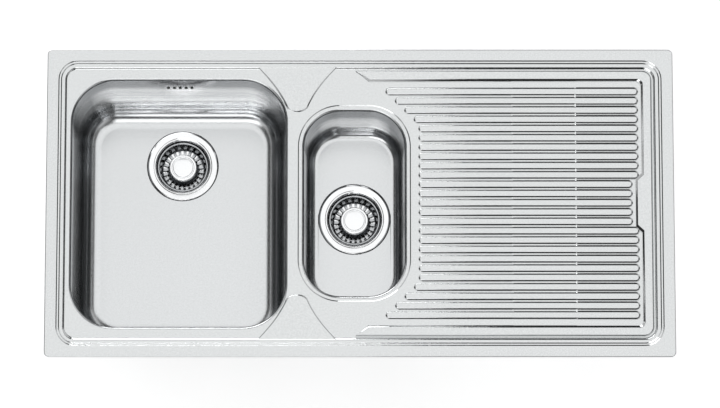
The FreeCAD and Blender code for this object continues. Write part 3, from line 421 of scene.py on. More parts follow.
# Deck
class DeckShape:
    """Works out the deck's levels and outlines from its sizes."""

    def __init__(self, deck, drainer):
        self.deck, self.drainer = deck, drainer
        self.half_x, self.half_y = deck.long_side / 2, deck.short_side / 2
        self.ledge_z, self.basin = deck.rim_top - deck.rim_drop, basin_height(deck)
        self.slope_start = deck.rim_width + deck.rim_slope + deck.ledge
        self.foot = self.slope_start + deck.basin_slope
        self.rib_z = self.basin + drainer.rib_height
        self.band_z = self.basin + drainer.band_height
        self.ledge_rows = slope_rows(drainer.ledge_slope, drainer.ledge_height, deck.fine_bend,
                                     deck.fine_guard)
        ramp = slope_rows(drainer.terrace_ramp, drainer.terrace_rise, deck.fine_bend / 2,
                          deck.guard)
        picked = [ramp[k] for k in (0, 1, 4, 5, 8, 9)]
        self.ramps = [(end - drainer.terrace_ramp + run, step * drainer.terrace_rise + fall)
                      for step, end in enumerate((drainer.terrace_first, drainer.terrace_second))
                      for run, fall in picked]

    def floor(self, x):
        """Height of the drainer's floor, which climbs two small terraces."""
        before, height = self.ramps[0][0], 0.0
        for place, rise in self.ramps:
            if x <= place:
                part = (x - before) / (place - before) if place > before else 1
                return self.basin + height + (rise - height) * max(0.0, part)
            before, height = place, rise
        return self.basin + height

    def second_slope(self, floor_z):
        """Rows of the slope from the ledge down to a floor."""
        drop = self.ledge_z - floor_z
        width = self.deck.basin_slope * drop / self.deck.basin_drop
        return slope_rows(width, drop, min(self.deck.bend, 0.4 * width), self.deck.guard)

    def ledge_side(self, grow, y, hand):
        """X of a tap ledge's side at a distance from the middle, bowed as pressed."""
        d = self.drainer
        edge = self.half_y - self.foot
        knee = edge - d.ledge_reach - grow + d.ledge_tip_round
        wide, narrow = d.ledge_half + grow, d.ledge_tip + grow
        part = (y - knee) / (edge - knee)
        bow = (d.ledge_left_bow if hand < 0 else -d.ledge_right_bow) * 4 * part * (1 - part)
        return d.ledge_x + hand * (narrow + (wide - narrow) * part) + bow

    def ledge_root(self, number):
        """Height and Y where a row round a tap ledge meets the rim."""
        floor_z = self.basin + self.drainer.ledge_height - self.ledge_rows[number][1]
        return floor_z, self.half_y - self.slope_start - self.second_slope(floor_z)[-1][0]

    def ledge_chain(self, number, side):
        """One row round a tap ledge, from its right root round the tip to its left root."""
        d, run = self.drainer, self.ledge_rows[number][0]
        z, root = self.ledge_root(number)
        tip = self.half_y - self.foot - d.ledge_reach - run
        knee = tip + d.ledge_tip_round
        ahead = [root + (knee - root) * k / SIDE_STEPS for k in range(SIDE_STEPS)]
        back = [knee + (root - knee) * k / SIDE_STEPS for k in range(1, SIDE_STEPS + 1)]
        half = d.ledge_tip + run
        radius = (half ** 2 + d.ledge_tip_round ** 2) / 2 / d.ledge_tip_round
        turns = [asin(half / radius) * (1 - 2 * k / TIP_STEPS) for k in range(TIP_STEPS + 1)]
        points = [(self.ledge_side(run, y, 1), y) for y in ahead]
        points += [(d.ledge_x + radius * sin(t), tip + radius * (1 - cos(t))) for t in turns]
        points += [(self.ledge_side(run, y, -1), y) for y in back]
        return [Vector((x, side * y, z)) for x, y in points]

    def rim_rows(self):
        """Rows from the lip over the rim and down both slopes to the basin."""
        deck = self.deck
        roots = [(1, k) for k in range(LAST_ROW, -1, -1)] + [(-1, k) for k in range(LAST_ROW + 1)]
        xs = [self.ledge_side(self.ledge_rows[k][0], self.ledge_root(k)[1], hand)
              for hand, k in roots]
        slopes = [self.second_slope(self.basin)]
        slopes += [self.second_slope(self.ledge_root(k)[0]) for _, k in roots]
        begin = self.slope_start + slopes[0][0][0]

        def row(insets, heights):
            """One row, from an inset and a height for the plain stations and each ledge station."""
            plain, corner = insets[0], deck.edge_corner - insets[0]
            if plain > deck.edge_round + 1:
                corner = deck.rim_corner + deck.rim_width - plain
            points = at_height(rounded_outline(self.half_x - plain, self.half_y - plain, corner,
                                               RIM_CORNER_STEPS, xs=xs), heights[0])
            back = RIM_CORNER_STEPS + 1
            front = len(points) - back - 1
            for k, (hand, _) in enumerate(roots):
                inset = insets[1 + k]
                end = self.slope_start + slopes[1 + k][-1][0]
                x = xs[k] + hand * ROOT_LEAN * (end - max(inset, begin))
                for number, side in ((back + k, 1), (front - k, -1)):
                    points[number] = Vector((x, side * (self.half_y - inset), heights[1 + k]))
            return points

        def even(inset, height):
            """One row at the same inset and height all round."""
            return row([inset] * len(slopes), [height] * len(slopes))

        rows = [even(0.0, deck.lip_gap)]
        for turn in range(6):
            angle = turn * pi / 10
            rows.append(even(deck.edge_round * (1 - cos(angle)),
                             deck.rim_top - deck.edge_round * (1 - sin(angle))))
        rows.append(even(deck.edge_round + deck.guard, deck.rim_top))
        for start, above in ((0.0, 0.0), (deck.rim_slope - deck.rim_step, deck.rim_drop / 2)):
            for run, fall in slope_rows(deck.rim_step, deck.rim_drop / 2, deck.fine_bend / 2,
                                        deck.guard):
                rows.append(even(deck.rim_width + start + run, deck.rim_top - above - fall))
        for steps in zip(*slopes):
            rows.append(row([self.slope_start + run for run, _ in steps],
                            [self.ledge_z - fall for _, fall in steps]))
        return rows

    def rib_rows(self, index):
        """Rows round one rib, from the floor up to its flat top."""
        d, deck = self.drainer, self.deck
        place = abs(index)
        stairs = max(0, place - (d.long_ribs - 1) // 2)
        left = d.rib_left - (d.rib_stair * (stairs - 0.5) if stairs else 0)
        right = d.rib_right - (d.rib_setback if place <= (d.notch_ribs - 1) // 2 else 0)
        y = index * d.rib_pitch
        half = d.rib_top / 2
        arc = [k * pi / 8 for k in range(9)]
        stations = [(x, QUARTER) for x, _ in reversed(self.ramps)]
        stations += [(left + d.rib_side + half, QUARTER + turn) for turn in arc]
        stations += [(x, -QUARTER) for x, _ in self.ramps]
        stations += [(right - d.rib_far_side - half, turn - QUARTER) for turn in arc]
        rows = []
        for number in range(LAST_ROW, -1, -1):
            row = []
            for x, turn in stations:
                floor_z = self.floor(x)
                far = max(0.0, (floor_z - self.basin) / d.terrace_rise - 1)
                side = d.rib_side + (d.rib_far_side - d.rib_side) * far
                run, fall = slope_rows(side, self.rib_z - floor_z, deck.fine_bend,
                                       deck.guard)[number]
                row.append(Vector((x + (half + run) * cos(turn),
                                   y + (half + run) * sin(turn), self.rib_z - fall)))
            rows.append(row)
        return rows

    def band_rows(self):
        """Rows round the drainer's border, from the floor up to its flat top."""
        d, deck = self.drainer, self.deck
        right_out, back_out = self.half_x - d.band_inset, self.half_y - d.band_inset
        right_in, back_in = right_out - d.band_width, back_out - d.band_width
        rows = []
        for number in range(LAST_ROW, -1, -1):
            out, fall = slope_rows(d.band_outer_slope, d.band_height, deck.fine_bend,
                                   deck.guard)[number]

            def inward(x):
                """Run and height of the inner slope over the floor at one station."""
                tall = self.band_z - self.floor(x)
                run, drop = slope_rows(d.band_inner_slope * tall / d.band_height, tall,
                                       deck.fine_bend, deck.guard)[number]
                return run, self.band_z - drop

            low, low_z = inward(0)
            far, far_z = inward(self.half_x)
            start, reach = d.band_left - out, d.notch_half + far
            corner = d.band_corner + out
            outer = rounded_path([
                (start, -back_out - out, 0), (right_out + out, -back_out - out, corner),
                (right_out + out, back_out + out, corner), (start, back_out + out, 0)], 6)
            inner = rounded_path([
                (right_in - far, 0, 0), (right_in - far, back_in - far, d.band_inner_corner),
                (0, back_in - far, 0)], 6)[1:-1]
            upper = [(start + d.band_bevel, back_in - low, low_z)]
            upper += [(x, back_in - inward(x)[0], inward(x)[1]) for x, _ in self.ramps]
            upper += [(p.x, p.y, far_z) for p in reversed(inner)]
            upper += [(right_in - far, reach + d.notch_bevel, far_z),
                      (right_in - d.rib_setback - far, reach, far_z)]
            lower = [(x, -y, z) for x, y, z in reversed(upper)]
            rows.append(at_height(outer, self.band_z - fall)
                        + [Vector(p) for p in upper + lower])
        return rows


def make_deck(deck, drainer, bowls):
    """Pressed deck with its slopes, tap ledges, border and ribs.

    The flat runs on under the drainer. The border and ribs are a second layer over it, which
    gets its thickness above, so what shows of them stands one sheet higher than their rows.
    """
    shape = DeckShape(deck, drainer)
    bm = bmesh.new()
    skin(bm, shape.rim_rows())
    for side in (1, -1):
        skin(bm, [shape.ledge_chain(k, side) for k in range(LAST_ROW, -1, -1)], closed=False)
    for bowl in bowls:
        skin(bm, mouth_rows(bowl, shape.basin, deck))
    weld(bm)
    on_ledge = level(shape.basin + drainer.ledge_height)
    fill(bm, lambda p: on_ledge(p) and abs(p.y) > 100)
    half = drainer.rib_count // 2
    for rows in [shape.rib_rows(k) for k in range(-half, half + 1)] + [shape.band_rows()]:
        skin(bm, rows)
        fill(bm, level(rows[-1][0].z))
    first, last = shape.ramps[0][0] - 0.01, shape.ramps[-1][0] + 0.01
    for k in range(-half, half + 2):
        low, high = (k - 1) * drainer.rib_pitch, k * drainer.rib_pitch
        bmesh.ops.bridge_loops(bm, edges=[
            e for e in bm.edges if e.is_boundary
            and all(low < v.co.y < high and first < v.co.x < last for v in e.verts)])
    weld(bm)
    fill(bm, level(shape.basin))
    fill(bm, level(shape.floor(shape.half_x)))
    return sheet_piece(bm, deck.sheet)


def bowl_ring(bowl, run, z, steps):
    """Rounded outline of a bowl, grown by a run, at one height."""
    return at_height(rounded_outline(bowl.long_side / 2 + run, bowl.short_side / 2 + run,
                                     bowl.corner + run, steps, (bowl.x, 0)), z)


def mouth_rows(bowl, basin, deck):
    """Rows from the basin's flat to the edge of a bowl's mouth, down a step if it has one."""
    runs = [(bowl.roll + MOUTH_FLAT, bowl.step_drop)]
    if bowl.step:
        slope = slope_rows(STEP_SLOPE, bowl.step_drop, deck.fine_bend / 2, deck.guard)
        runs = [(bowl.roll + bowl.step - run, fall) for run, fall in slope] + runs
    return [bowl_ring(bowl, run, basin - fall, MOUTH_CORNER_STEPS) for run, fall in runs]


# Bowls
def bowl_rows(bowl, basin, stops=()):
    """Rows of a bowl from its rolled edge down the leaning wall and round to its floor."""
    top = basin - bowl.step_drop
    wall_top, floor = top - bowl.roll, basin - bowl.depth
    lean, radius = bowl.draft, bowl.floor_round
    runs = [(bowl.roll + MOUTH_FLAT, top)]
    for k in range(9):
        angle = (QUARTER - lean) * k / 8
        runs.append((bowl.roll * (1 - sin(angle)), wall_top + bowl.roll * cos(angle)))
    runs += [((z - wall_top) * tan(lean), z) for z in stops]
    hub_z = floor + radius
    hub = (hub_z - wall_top) * tan(lean) - radius / cos(lean)
    for k in range(15):
        angle = lean + (QUARTER - lean) * k / 14
        runs.append((hub + radius * cos(angle), hub_z - radius * sin(angle)))
    runs.append((hub - 1.0, floor))
    return [bowl_ring(bowl, run, z, BOWL_CORNER_STEPS) for run, z in runs]


def make_bowl(bowl, basin, wastes, deck, overflow):
    """Deep drawn bowl with its waste recess, and overflow slots if it has them."""
    bm = bmesh.new()
    middle = basin - wastes.overflow_drop
    stops = (middle + wastes.overflow_panel, middle - wastes.overflow_panel)
    skin(bm, bowl_rows(bowl, basin, stops if overflow else ()))
    if overflow:
        cut_overflow(bm, bowl, basin - bowl.roll, middle, wastes)
    floor = basin - bowl.depth
    recess = [(wastes.recess - run + 0.6, floor - fall)
              for run, fall in slope_rows(1.2, wastes.recess_depth, 0.5, 0.3)]
    recess.append((wastes.hole, floor - wastes.recess_depth))
    turns = [TURN * k / 72 for k in range(72)]
    skin(bm, [[Vector((bowl.x + r * cos(t), bowl.waste_y + r * sin(t), z))
               for t in turns] for r, z in recess])
    weld(bm)
    fill(bm, level(floor))
    return sheet_piece(bm, deck.sheet)


def cut_overflow(bm, bowl, wall_top, middle, wastes):
    """Opens a row of slots in the flat of the back wall."""
    def on_wall(x, z):
        return Vector((x, bowl.short_side / 2 + (z - wall_top) * tan(bowl.draft), z))

    spot = on_wall(bowl.x, middle)
    panel = min(bm.faces, key=lambda face: (face.calc_center_median() - spot).length)
    edges, normal = list(panel.edges), panel.normal.copy()
    bmesh.ops.delete(bm, geom=[panel], context="FACES_ONLY")
    radius = wastes.slot_wide / 2
    straight = wastes.slot_tall / 2 - radius
    for k in range(wastes.overflow_slots):
        x = bowl.x + (k - (wastes.overflow_slots - 1) / 2) * wastes.slot_pitch
        ring = [bm.verts.new(on_wall(x + side * radius * cos(t),
                                     middle + side * (straight + radius * sin(t))))
                for side in (1, -1) for t in (pi * n / 8 for n in range(9))]
        edges += [bm.edges.new(pair) for pair in zip(ring, ring[1:] + ring[:1])]
    bmesh.ops.triangle_fill(bm, edges=edges, use_beauty=True, normal=normal)


# Wastes, each about its own middle with the bowl's floor at height 0
def spun(bm, stations, centre, z, steps=96):
    """Solid or sheet of revolution through (radius, height) stations."""
    verts = [bm.verts.new((centre[0] + r, centre[1], z + h)) for r, h in stations]
    edges = [bm.edges.new(pair) for pair in zip(verts, verts[1:])]
    bmesh.ops.spin(bm, geom=verts + edges, cent=(*centre, 0), axis=UP, dvec=(0, 0, 0),
                   angle=TURN, steps=steps, use_merge=True)


def put(bm, verts, size, first, turn, last):
    """Scales, shifts and turns some points about the upright axis, then shifts them again."""
    bmesh.ops.scale(bm, vec=size, verts=verts)
    bmesh.ops.translate(bm, vec=first, verts=verts)
    bmesh.ops.rotate(bm, cent=(0, 0, 0), matrix=Matrix.Rotation(turn, 3, "Z"), verts=verts)
    bmesh.ops.translate(bm, vec=last, verts=verts)


def make_cup(d, centre, floor):
    """Pressed flange and cup, with a bridged outlet."""
    bm = bmesh.new()
    inside, bottom = d.cup - d.sheet, d.sheet - d.cup_depth
    spun(bm, rounded_path([
        (d.flange, -1.4, 0), (d.flange, -0.1, 0.5), (d.flange - 2.2, 0.5, 0.8),
        (d.flange - 9.5, -0.2, 3.0), (d.flange - 10.4, -0.7, 0.3), (inside + 1.2, -0.8, 2.6),
        (inside, -12.0, 1.5), (inside - 1.6, -13.0, 0.5), (inside - 1.6, 3 - d.cup_depth, 2.5),
        (d.outlet + 8, bottom, 2.0), (d.outlet, bottom, 0)], 4), centre, floor)
    for k in range(4):
        grid = bmesh.ops.create_grid(bm, x_segments=6, y_segments=1, size=0.5)["verts"]
        put(bm, grid, (d.outlet - 8, d.bridge, 1), ((d.outlet + 8) / 2, 0, 0), k * QUARTER,
            (*centre, floor + bottom))
    weld(bm)
    return sheet_piece(bm, d.sheet)


def make_basket(d, centre, floor):
    """Catch basket: rolled rim, leaning wall and a ring of radial slots round its plate."""
    bm = bmesh.new()
    columns_per_slot = 6
    columns = d.slots * columns_per_slot
    knee, plate = d.basket_floor + d.knuckle, d.basket_floor + BASKET_SHEET
    stations = rounded_path([
        (d.basket_rim, d.rim_z - 2.0, 0), (d.basket_rim, d.rim_z, 0.9),
        (d.basket_rim - 2.6, d.rim_z, 0.9), (d.basket_rim - 3.5, d.rim_z - 2.5, 0.8),
        (d.wall_foot + 0.8, knee + 1.0, 0)], 4)
    stations += [(d.slot_outer, knee - 0.6), (d.slot_inner, d.basket_floor + 1.4),
                 (d.slot_inner - 1.2, plate), (d.slot_inner - 8, plate), (6.0, plate)]
    spun(bm, stations, centre, floor, columns)
    middle = Vector((*centre, 0))

    def in_slot(face):
        spot = face.calc_center_median() - middle
        turn = atan2(spot.y, spot.x) % (TURN) / (TURN)
        return (d.slot_inner < spot.xy.length < d.slot_outer
                and int(turn * columns) % columns_per_slot < columns_per_slot / 2)

    bmesh.ops.delete(bm, geom=[face for face in bm.faces if in_slot(face)],
                     context="FACES_ONLY")
    weld(bm)
    return sheet_piece(bm, BASKET_SHEET)


def make_knob(d, centre, floor):
    """Lifting knob turned from steel: neck, broad cap and a groove round its crown."""
    bm = bmesh.new()
    base = d.basket_floor + BASKET_SHEET
    cap = base + d.neck_height
    crown = cap + d.knob_height
    outer, inner = d.groove + d.groove_half, d.groove - d.groove_half
    spun(bm, rounded_path([
        (0.0, base, 0), (d.neck + 1.5, base, 0), (d.neck, base + 2, 1.2),
        (d.neck, cap - 1.5, 1.4), (d.knob - 3, cap, 1.0), (d.knob, cap + 1.2, 1.0),
        (d.knob, crown - 0.2, 1.2), (outer, crown, 0.3), (outer - 0.3, crown - 2.2, 0.3),
        (inner + 0.3, crown - 2.2, 0.3), (inner, crown, 0.3), (0.0, crown + 0.5, 0)], 4),
        centre, floor, 72)
    return close_up(bm)


# Fittings under the sink
def make_hose(h):
    """Corrugated overflow hose: down from the box, round one bend and into the waste body."""
    bm = bmesh.new()
    drop, arc = h.top - h.inlet_z - h.bend, h.bend * QUARTER
    total = drop + arc + h.back - h.bend - h.inlet_y
    per_pitch = 6
    steps = round(total / h.pitch) * per_pitch

    def spot(way):
        """Place on the middle line, and the hose's turn about X there."""
        if way <= drop:
            return Vector((h.x, h.back, h.top - way)), 0.0
        if way <= drop + arc:
            turn = (way - drop) / h.bend
            return Vector((h.x, h.back - h.bend * (1 - cos(turn)),
                           h.inlet_z + h.bend * (1 - sin(turn)))), -turn
        return Vector((h.x, h.back - h.bend - (way - drop - arc), h.inlet_z)), -QUARTER

    rows = []
    for k in range(steps + 1):
        place, turn = spot(total * k / steps)
        radius = h.radius - h.groove * (0.5 + 0.5 * cos(TURN * k / per_pitch))
        lean = Matrix.Rotation(turn, 3, "X")
        rows.append([place + lean @ Vector((radius * cos(t), radius * sin(t), 0))
                     for t in (TURN * n / 32 for n in range(32))])
    skin(bm, rows)
    bmesh.ops.holes_fill(bm, edges=[e for e in bm.edges if e.is_boundary], sides=0)
    return close_up(bm)


def make_outlet_threads(d, centre, floor):
    """Coarse moulded thread round a waste body's outlet, and gussets under its flange."""
    bm = bmesh.new()
    top = -d.body_top - d.barrel - d.cone
    low, high, inside = top - d.outlet_long + 0.5, top - 0.5, d.outlet_thread - 1.5
    stations = [(inside, low), (d.outlet_thread, low)]
    for k in range(int((d.outlet_long - 3) / d.thread_pitch)):
        foot = low + 0.7 + k * d.thread_pitch
        stations += [(d.outlet_thread + over, foot + way) for over, way in THREAD]
    stations += [(d.outlet_thread, high), (inside, high), (inside, low)]
    spun(bm, stations, centre, floor, 72)
    reach = d.flange - d.barrel_radius
    for k in range(d.gussets):
        cube = bmesh.ops.create_cube(bm, size=1)["verts"]
        taper = (3 - reach) / (reach - 1)
        outer = [v for v in cube if v.co.x > 0 and v.co.z < 0]
        bmesh.ops.translate(bm, vec=(taper, 0, 0), verts=outer)
        put(bm, cube, (reach - 1, 2.2, 12),
            (reach / 2 + d.barrel_radius - 1, 0, -d.body_top - d.body_flange - 5.8),
            TURN * (k + 0.5) / d.gussets, (*centre, floor))
    return close_up(bm)


# Finishes
def colour(code):
    """Linear colour of an sRGB hex value."""
    parts = [int(code[k:k + 2], 16) / 255 for k in (1, 3, 5)]
    return (*(p / 12.92 if p <= 0.04045 else ((p + 0.055) / 1.055) ** 2.4 for p in parts), 1.0)


def add(tree, kind, inputs=None, **settings):
    """Adds a node, with its settings and its values, hex colours or links."""
    node = tree.nodes.new("ShaderNode" + kind)
    for name, value in settings.items():
        setattr(node, name, value)
    for name, value in (inputs or {}).items():
        if isinstance(value, bpy.types.Node):
            value = value.outputs[0]
        if isinstance(value, bpy.types.NodeSocket):
            tree.links.new(value, node.inputs[name])
        else:
            node.inputs[name].default_value = colour(value) if isinstance(value, str) else value
    return node


def noise(tree, place, size, detail, roughness=0.5):
    """Noise whose waves are about so many metres long."""
    return add(tree, "TexNoise", {"Vector": place, "Scale": 1 / size, "Detail": detail,
                                  "Roughness": roughness})


def ranged(tree, value, low, high, start=0.0, end=1.0):
    """Value brought from one range to another."""
    return add(tree, "MapRange", {"Value": value, "From Min": start, "From Max": end,
                                  "To Min": low, "To Max": high})


def mixed(tree, part, first, second):
    """Mix of two colours."""
    return add(tree, "MixRGB", {"Fac": part, "Color1": first, "Color2": second})


def maths(tree, operation, first, second=0.0):
    return add(tree, "Math", {0: first, 1: second}, operation=operation)


def new_finish(name):
    """Empty material, its node tree and the object's own coordinates."""
    material = bpy.data.materials.new(name)
    material.use_nodes = True
    material.node_tree.nodes.clear()
    return material, material.node_tree, add(material.node_tree, "TexCoord").outputs


def complete(tree, inputs):
    """Ends a material's tree in one shader."""
    shader = add(tree, "BsdfPrincipled", inputs)
    add(tree, "OutputMaterial", {"Surface": shader})


def complete_steel(tree, tint, rough, **more):
    complete(tree, {"Base Color": tint, "Metallic": 1.0, "Roughness": rough, **more})


def satin_sheet_steel():
    """Stainless steel sheet, pressed and given a fine satin grain by glass beads.

    The eye sees a pale, soft sheen with a faint mottle and no direction. The beads leave pits of
    some 0.1 mm, drawn here as 1.2 mm so that they show at all.
    """
    material, tree, place = new_finish("satin_sheet_steel")
    mottle = noise(tree, place["Object"], 0.0024, 3.0, 0.6)
    cloud = noise(tree, place["Object"], 0.09, 2.0)
    bump = add(tree, "Bump", {"Height": mottle, "Strength": 0.12, "Distance": 0.0004})
    complete_steel(tree, mixed(tree, mottle, "#BEC0C1", "#D6D8D8"),
                   ranged(tree, cloud, 0.10, 0.14), Normal=bump)
    return material


def drawn_bowl_steel():
    """Stainless steel of a drawn bowl, its walls brushed round and round.

    The eye sees a silky sheen, drawn out into dark and pale bands round the walls and a fine even
    grain on the floor. The side walls and a band of wall under the mouth are painted darker, as
    painted shade, and the end walls are painted paler, as painted reflection. The scratches are
    some 0.05 mm apart and drawn here 6 mm apart and 250 mm long, and the floor's grain of 0.1 mm
    is drawn 1.2 mm across.
    """
    material, tree, place = new_finish("drawn_bowl_steel")
    facing = add(tree, "SeparateXYZ", {"Vector": place["Normal"]}).outputs
    height = add(tree, "SeparateXYZ", {"Vector": place["Object"]}).outputs["Z"]
    wall = ranged(tree, maths(tree, "ABSOLUTE", facing["Z"]), 1.0, 0.0, 0.35, 0.9)
    # Painted light and shade: the end walls get pale tints as painted reflection, and the side
    # walls get dark tints as painted shade.
    painted_end_light_side_shade = ranged(tree, maths(tree, "ABSOLUTE", facing["Y"]), 0.0, 1.0, 0.75, 0.97)
    # Painted shade: a band of wall just under the mouth is mixed towards a darker grey.
    painted_shade_under_mouth = ranged(tree, height, 0.0, 0.85, -0.056, -0.036)
    long = add(tree, "Mapping", {"Vector": place["Object"],
                                 "Scale": (1 / 0.25, 1 / 0.25, 1 / 0.006)})
    streak = noise(tree, long, 1.0, 4.0, 0.65)
    grain = noise(tree, place["Object"], 0.0024, 3.0, 0.6)
    contrast = ranged(tree, streak, 0.0, 1.0, 0.32, 0.68)
    # The streaks are the steel's own bands. The pale end tints and dark side tints round them are
    # painted light and shade.
    tint = mixed(tree, painted_end_light_side_shade, mixed(tree, contrast, "#56585B", "#A9ABAD"),
                 mixed(tree, contrast, "#DFE0E1", "#F9F9F9"))
    tint = mixed(tree, painted_shade_under_mouth, tint, "#85878A")
    tint = mixed(tree, wall, mixed(tree, grain, "#C6C8C9", "#D8DADB"), tint)
    bump = add(tree, "Bump", {"Height": streak, "Strength": ranged(tree, wall, 0.02, 0.22),
                              "Distance": 0.0006})
    complete_steel(tree, tint, ranged(tree, wall, 0.24, 0.15), Normal=bump)
    return material


def plain_steel(name, tint, dullest, brightest):
    """Steel of one tint, with clouds 12 mm across in its gloss."""
    material, tree, place = new_finish(name)
    smear = noise(tree, place["Object"], 0.012, 3.0)
    complete_steel(tree, colour(tint), ranged(tree, smear, brightest, dullest))
    return material


def polished_steel():
    """Stainless steel of the flanges and knobs, turned or pressed and then polished.

    The eye sees sharp, bright and black rings, with faint clouds 12 mm across from handling.
    """
    return plain_steel("polished_strainer_steel", "#E6E7E8", 0.18, 0.10)


def basket_steel():
    """Stainless steel of the baskets, pressed and pierced, and left as it came from the press.

    The eye sees a darker grey than the polished flange. The tint is painted darker, as a painted
    reflection of the cup's dark inside that the basket mirrors.
    """
    # Painted shade: the tint is darker than the flange's, standing in for the cup's dark inside
    # mirrored in the basket.
    return plain_steel("basket_steel", "#B0B2B4", 0.22, 0.14)


def zinc_plated_steel():
    """Mild steel strip and screws, pressed and bright zinc plated.

    The eye sees a cool grey, half dull sheen with soft clouds some 8 mm across from the bath.
    """
    material, tree, place = new_finish("zinc_plated_steel")
    cloud = noise(tree, place["Object"], 0.008, 4.0, 0.55)
    complete_steel(tree, mixed(tree, cloud, "#AEB4B9", "#D3D6D8"),
                   ranged(tree, cloud, 0.30, 0.50))
    return material


def moulded_finish(name, dark, pale, grain, rough, depth):
    """A moulded or cast finish: two near colours in a fine grain, with a bump of the same grain."""
    material, tree, place = new_finish(name)
    grained = noise(tree, place["Object"], grain, 3.0, 0.6)
    bump = add(tree, "Bump", {"Height": grained, "Strength": 0.3, "Distance": depth})
    complete(tree, {"Base Color": mixed(tree, grained, dark, pale), "Roughness": rough,
                    "IOR": 1.5, "Normal": bump})
    return material


# Moulded finishes by slot: name, dark and pale tint, grain in metres, roughness and bump.
# - Polypropylene, injection moulded: milky white with a spark-eroded grain of 0.4 mm, drawn 0.8.
# - Soft polyethylene, blow moulded: mid grey and waxy, with faint flow marks 3 mm apart.
# - Vulcanised rubber: nearly black and dull, with a fine 0.5 mm bloom drawn 1 mm across.
# - Foamed sealing strip with a cut skin: charcoal and matt, with open cells drawn 1.2 mm across.
# - Bitumen damping sheet, calendered: black-brown and gritty, with sand drawn 1.5 mm across.
MOULDED = {
    "white_plastic": ("white_polypropylene", "#DEDED8", "#EDEDE8", 0.0008, 0.42, 0.0001),
    "grey_hose": ("grey_corrugated_plastic", "#8F9395", "#A4A8AA", 0.003, 0.38, 0.0001),
    "black_rubber": ("black_moulded_rubber", "#161617", "#232324", 0.001, 0.62, 0.0001),
    "foam_seal": ("closed_cell_foam", "#242527", "#3A3B3D", 0.0012, 0.92, 0.0005),
    "damping_pad": ("bitumen_pad", "#1F1D1C", "#3B3836", 0.0015, 0.82, 0.0004),
}


# Stage
def make_floor(sizes):
    """Painted floor under the object, paler to the eye than its paint, with its shadows kept."""
    bm = bmesh.new()
    bmesh.ops.create_grid(bm, x_segments=1, y_segments=1, size=6)
    bmesh.ops.translate(bm, vec=(0, 0, CAD_BOX[0][2] - 0.01), verts=bm.verts)
    material, tree, _ = new_finish("painted_floor")
    paint = add(tree, "BsdfPrincipled", {"Base Color": (*sizes.floor_colour, 1),
                                         "Roughness": 0.9})
    path = add(tree, "LightPath").outputs
    seen = maths(tree, "MAXIMUM", path["Is Camera Ray"], path["Is Glossy Ray"])
    seen = maths(tree, "MAXIMUM", seen, path["Is Transmission Ray"])
    glow = add(tree, "Emission", {"Color": "#FFFFFF",
                                  "Strength": maths(tree, "MULTIPLY", seen, sizes.floor_lift)})
    add(tree, "OutputMaterial", {"Surface": add(tree, "AddShader", {0: paint, 1: glow})})
    mesh_object("studio_floor", bm, material)


def make_lamp(name, power, place, aim, size):
    """Soft box at a place, turned to a point."""
    lamp = bpy.data.lights.new(f"{name}_box", "AREA")
    lamp.shape = "RECTANGLE"
    (lamp.size, lamp.size_y), lamp.energy = size, power
    way = Vector(aim) - Vector(place)
    place_object(f"{name}_box", lamp, place, way.to_track_quat("-Z", "Y").to_euler())


def make_world(grey, corners):
    """Room that is white round the horizon, pale in its corners and dark behind the lamps."""
    world = bpy.data.worlds.new("studio_room")
    world.use_nodes = True
    tree = world.node_tree
    tree.nodes.clear()
    way = add(tree, "SeparateXYZ", {"Vector": add(tree, "TexCoord").outputs["Generated"]}).outputs
    slant = maths(tree, "ABSOLUTE", maths(tree, "MULTIPLY", way["X"], way["Y"]))
    shade = maths(tree, "MAXIMUM", ranged(tree, way["Z"], 1.0, grey, 0.03, 0.06),
                  ranged(tree, slant, 0.0, corners, 0.20, 0.36))
    room = add(tree, "Background", {"Color": "#FFFFFF", "Strength": shade})
    add(tree, "OutputWorld", {"Surface": room})
    bpy.context.scene.world = world


def each_waste(scene):
    """Name, centre and floor height of each bowl's waste."""
    deck, main, half = read_sizes(scene, "deck", "main_bowl", "half_bowl")
    for name, bowl in (("main", main), ("half", half)):
        yield name, (bowl.x, bowl.waste_y), basin_height(deck) - bowl.depth


class SINK_OT_deck(bpy.types.Operator):
    """Models the pressed deck"""
    bl_idname = "sink.deck"
    bl_label = "Deck"

    def execute(self, context):
        deck, drainer, *bowls = read_sizes(context.scene, "deck", "drainer", "main_bowl",
                                           "half_bowl")
        add_piece("pressed_deck", make_deck(deck, drainer, bowls), satin_sheet_steel(),
                  "sink_body", ["sink_deck"])
        return {"FINISHED"}


class SINK_OT_bowls(bpy.types.Operator):
    """Models the two drawn bowls"""
    bl_idname = "sink.bowls"
    bl_label = "Bowls"

    def execute(self, context):
        deck, wastes, *bowls = read_sizes(context.scene, "deck", "wastes", "main_bowl",
                                          "half_bowl")
        steel = drawn_bowl_steel()
        for name, bowl in zip(("main", "half"), bowls):
            bm = make_bowl(bowl, basin_height(deck), wastes, deck, name == "main")
            add_piece(f"drawn_{name}_bowl", bm, steel, "sink_body",
                      [f"{name}_bowl"])
        return {"FINISHED"}


class SINK_OT_strainers(bpy.types.Operator):
    """Models the strainer cups, baskets and knobs"""
    bl_idname = "sink.strainers"
    bl_label = "Strainers"

    def execute(self, context):
        wastes, = read_sizes(context.scene, "wastes")
        polished, pressed = polished_steel(), basket_steel()
        for name, centre, floor in each_waste(context.scene):
            basket = f"{name}_basket_unit"
            for piece, make, finish, body in (("strainer_cup", make_cup, polished, "sink_body"),
                                              ("basket", make_basket, pressed, basket),
                                              ("basket_knob", make_knob, polished, basket)):
                add_piece(f"polished_{name}_{piece}", make(wastes, centre, floor), finish, body,
                          [f"{name}_{piece}"])
        return {"FINISHED"}


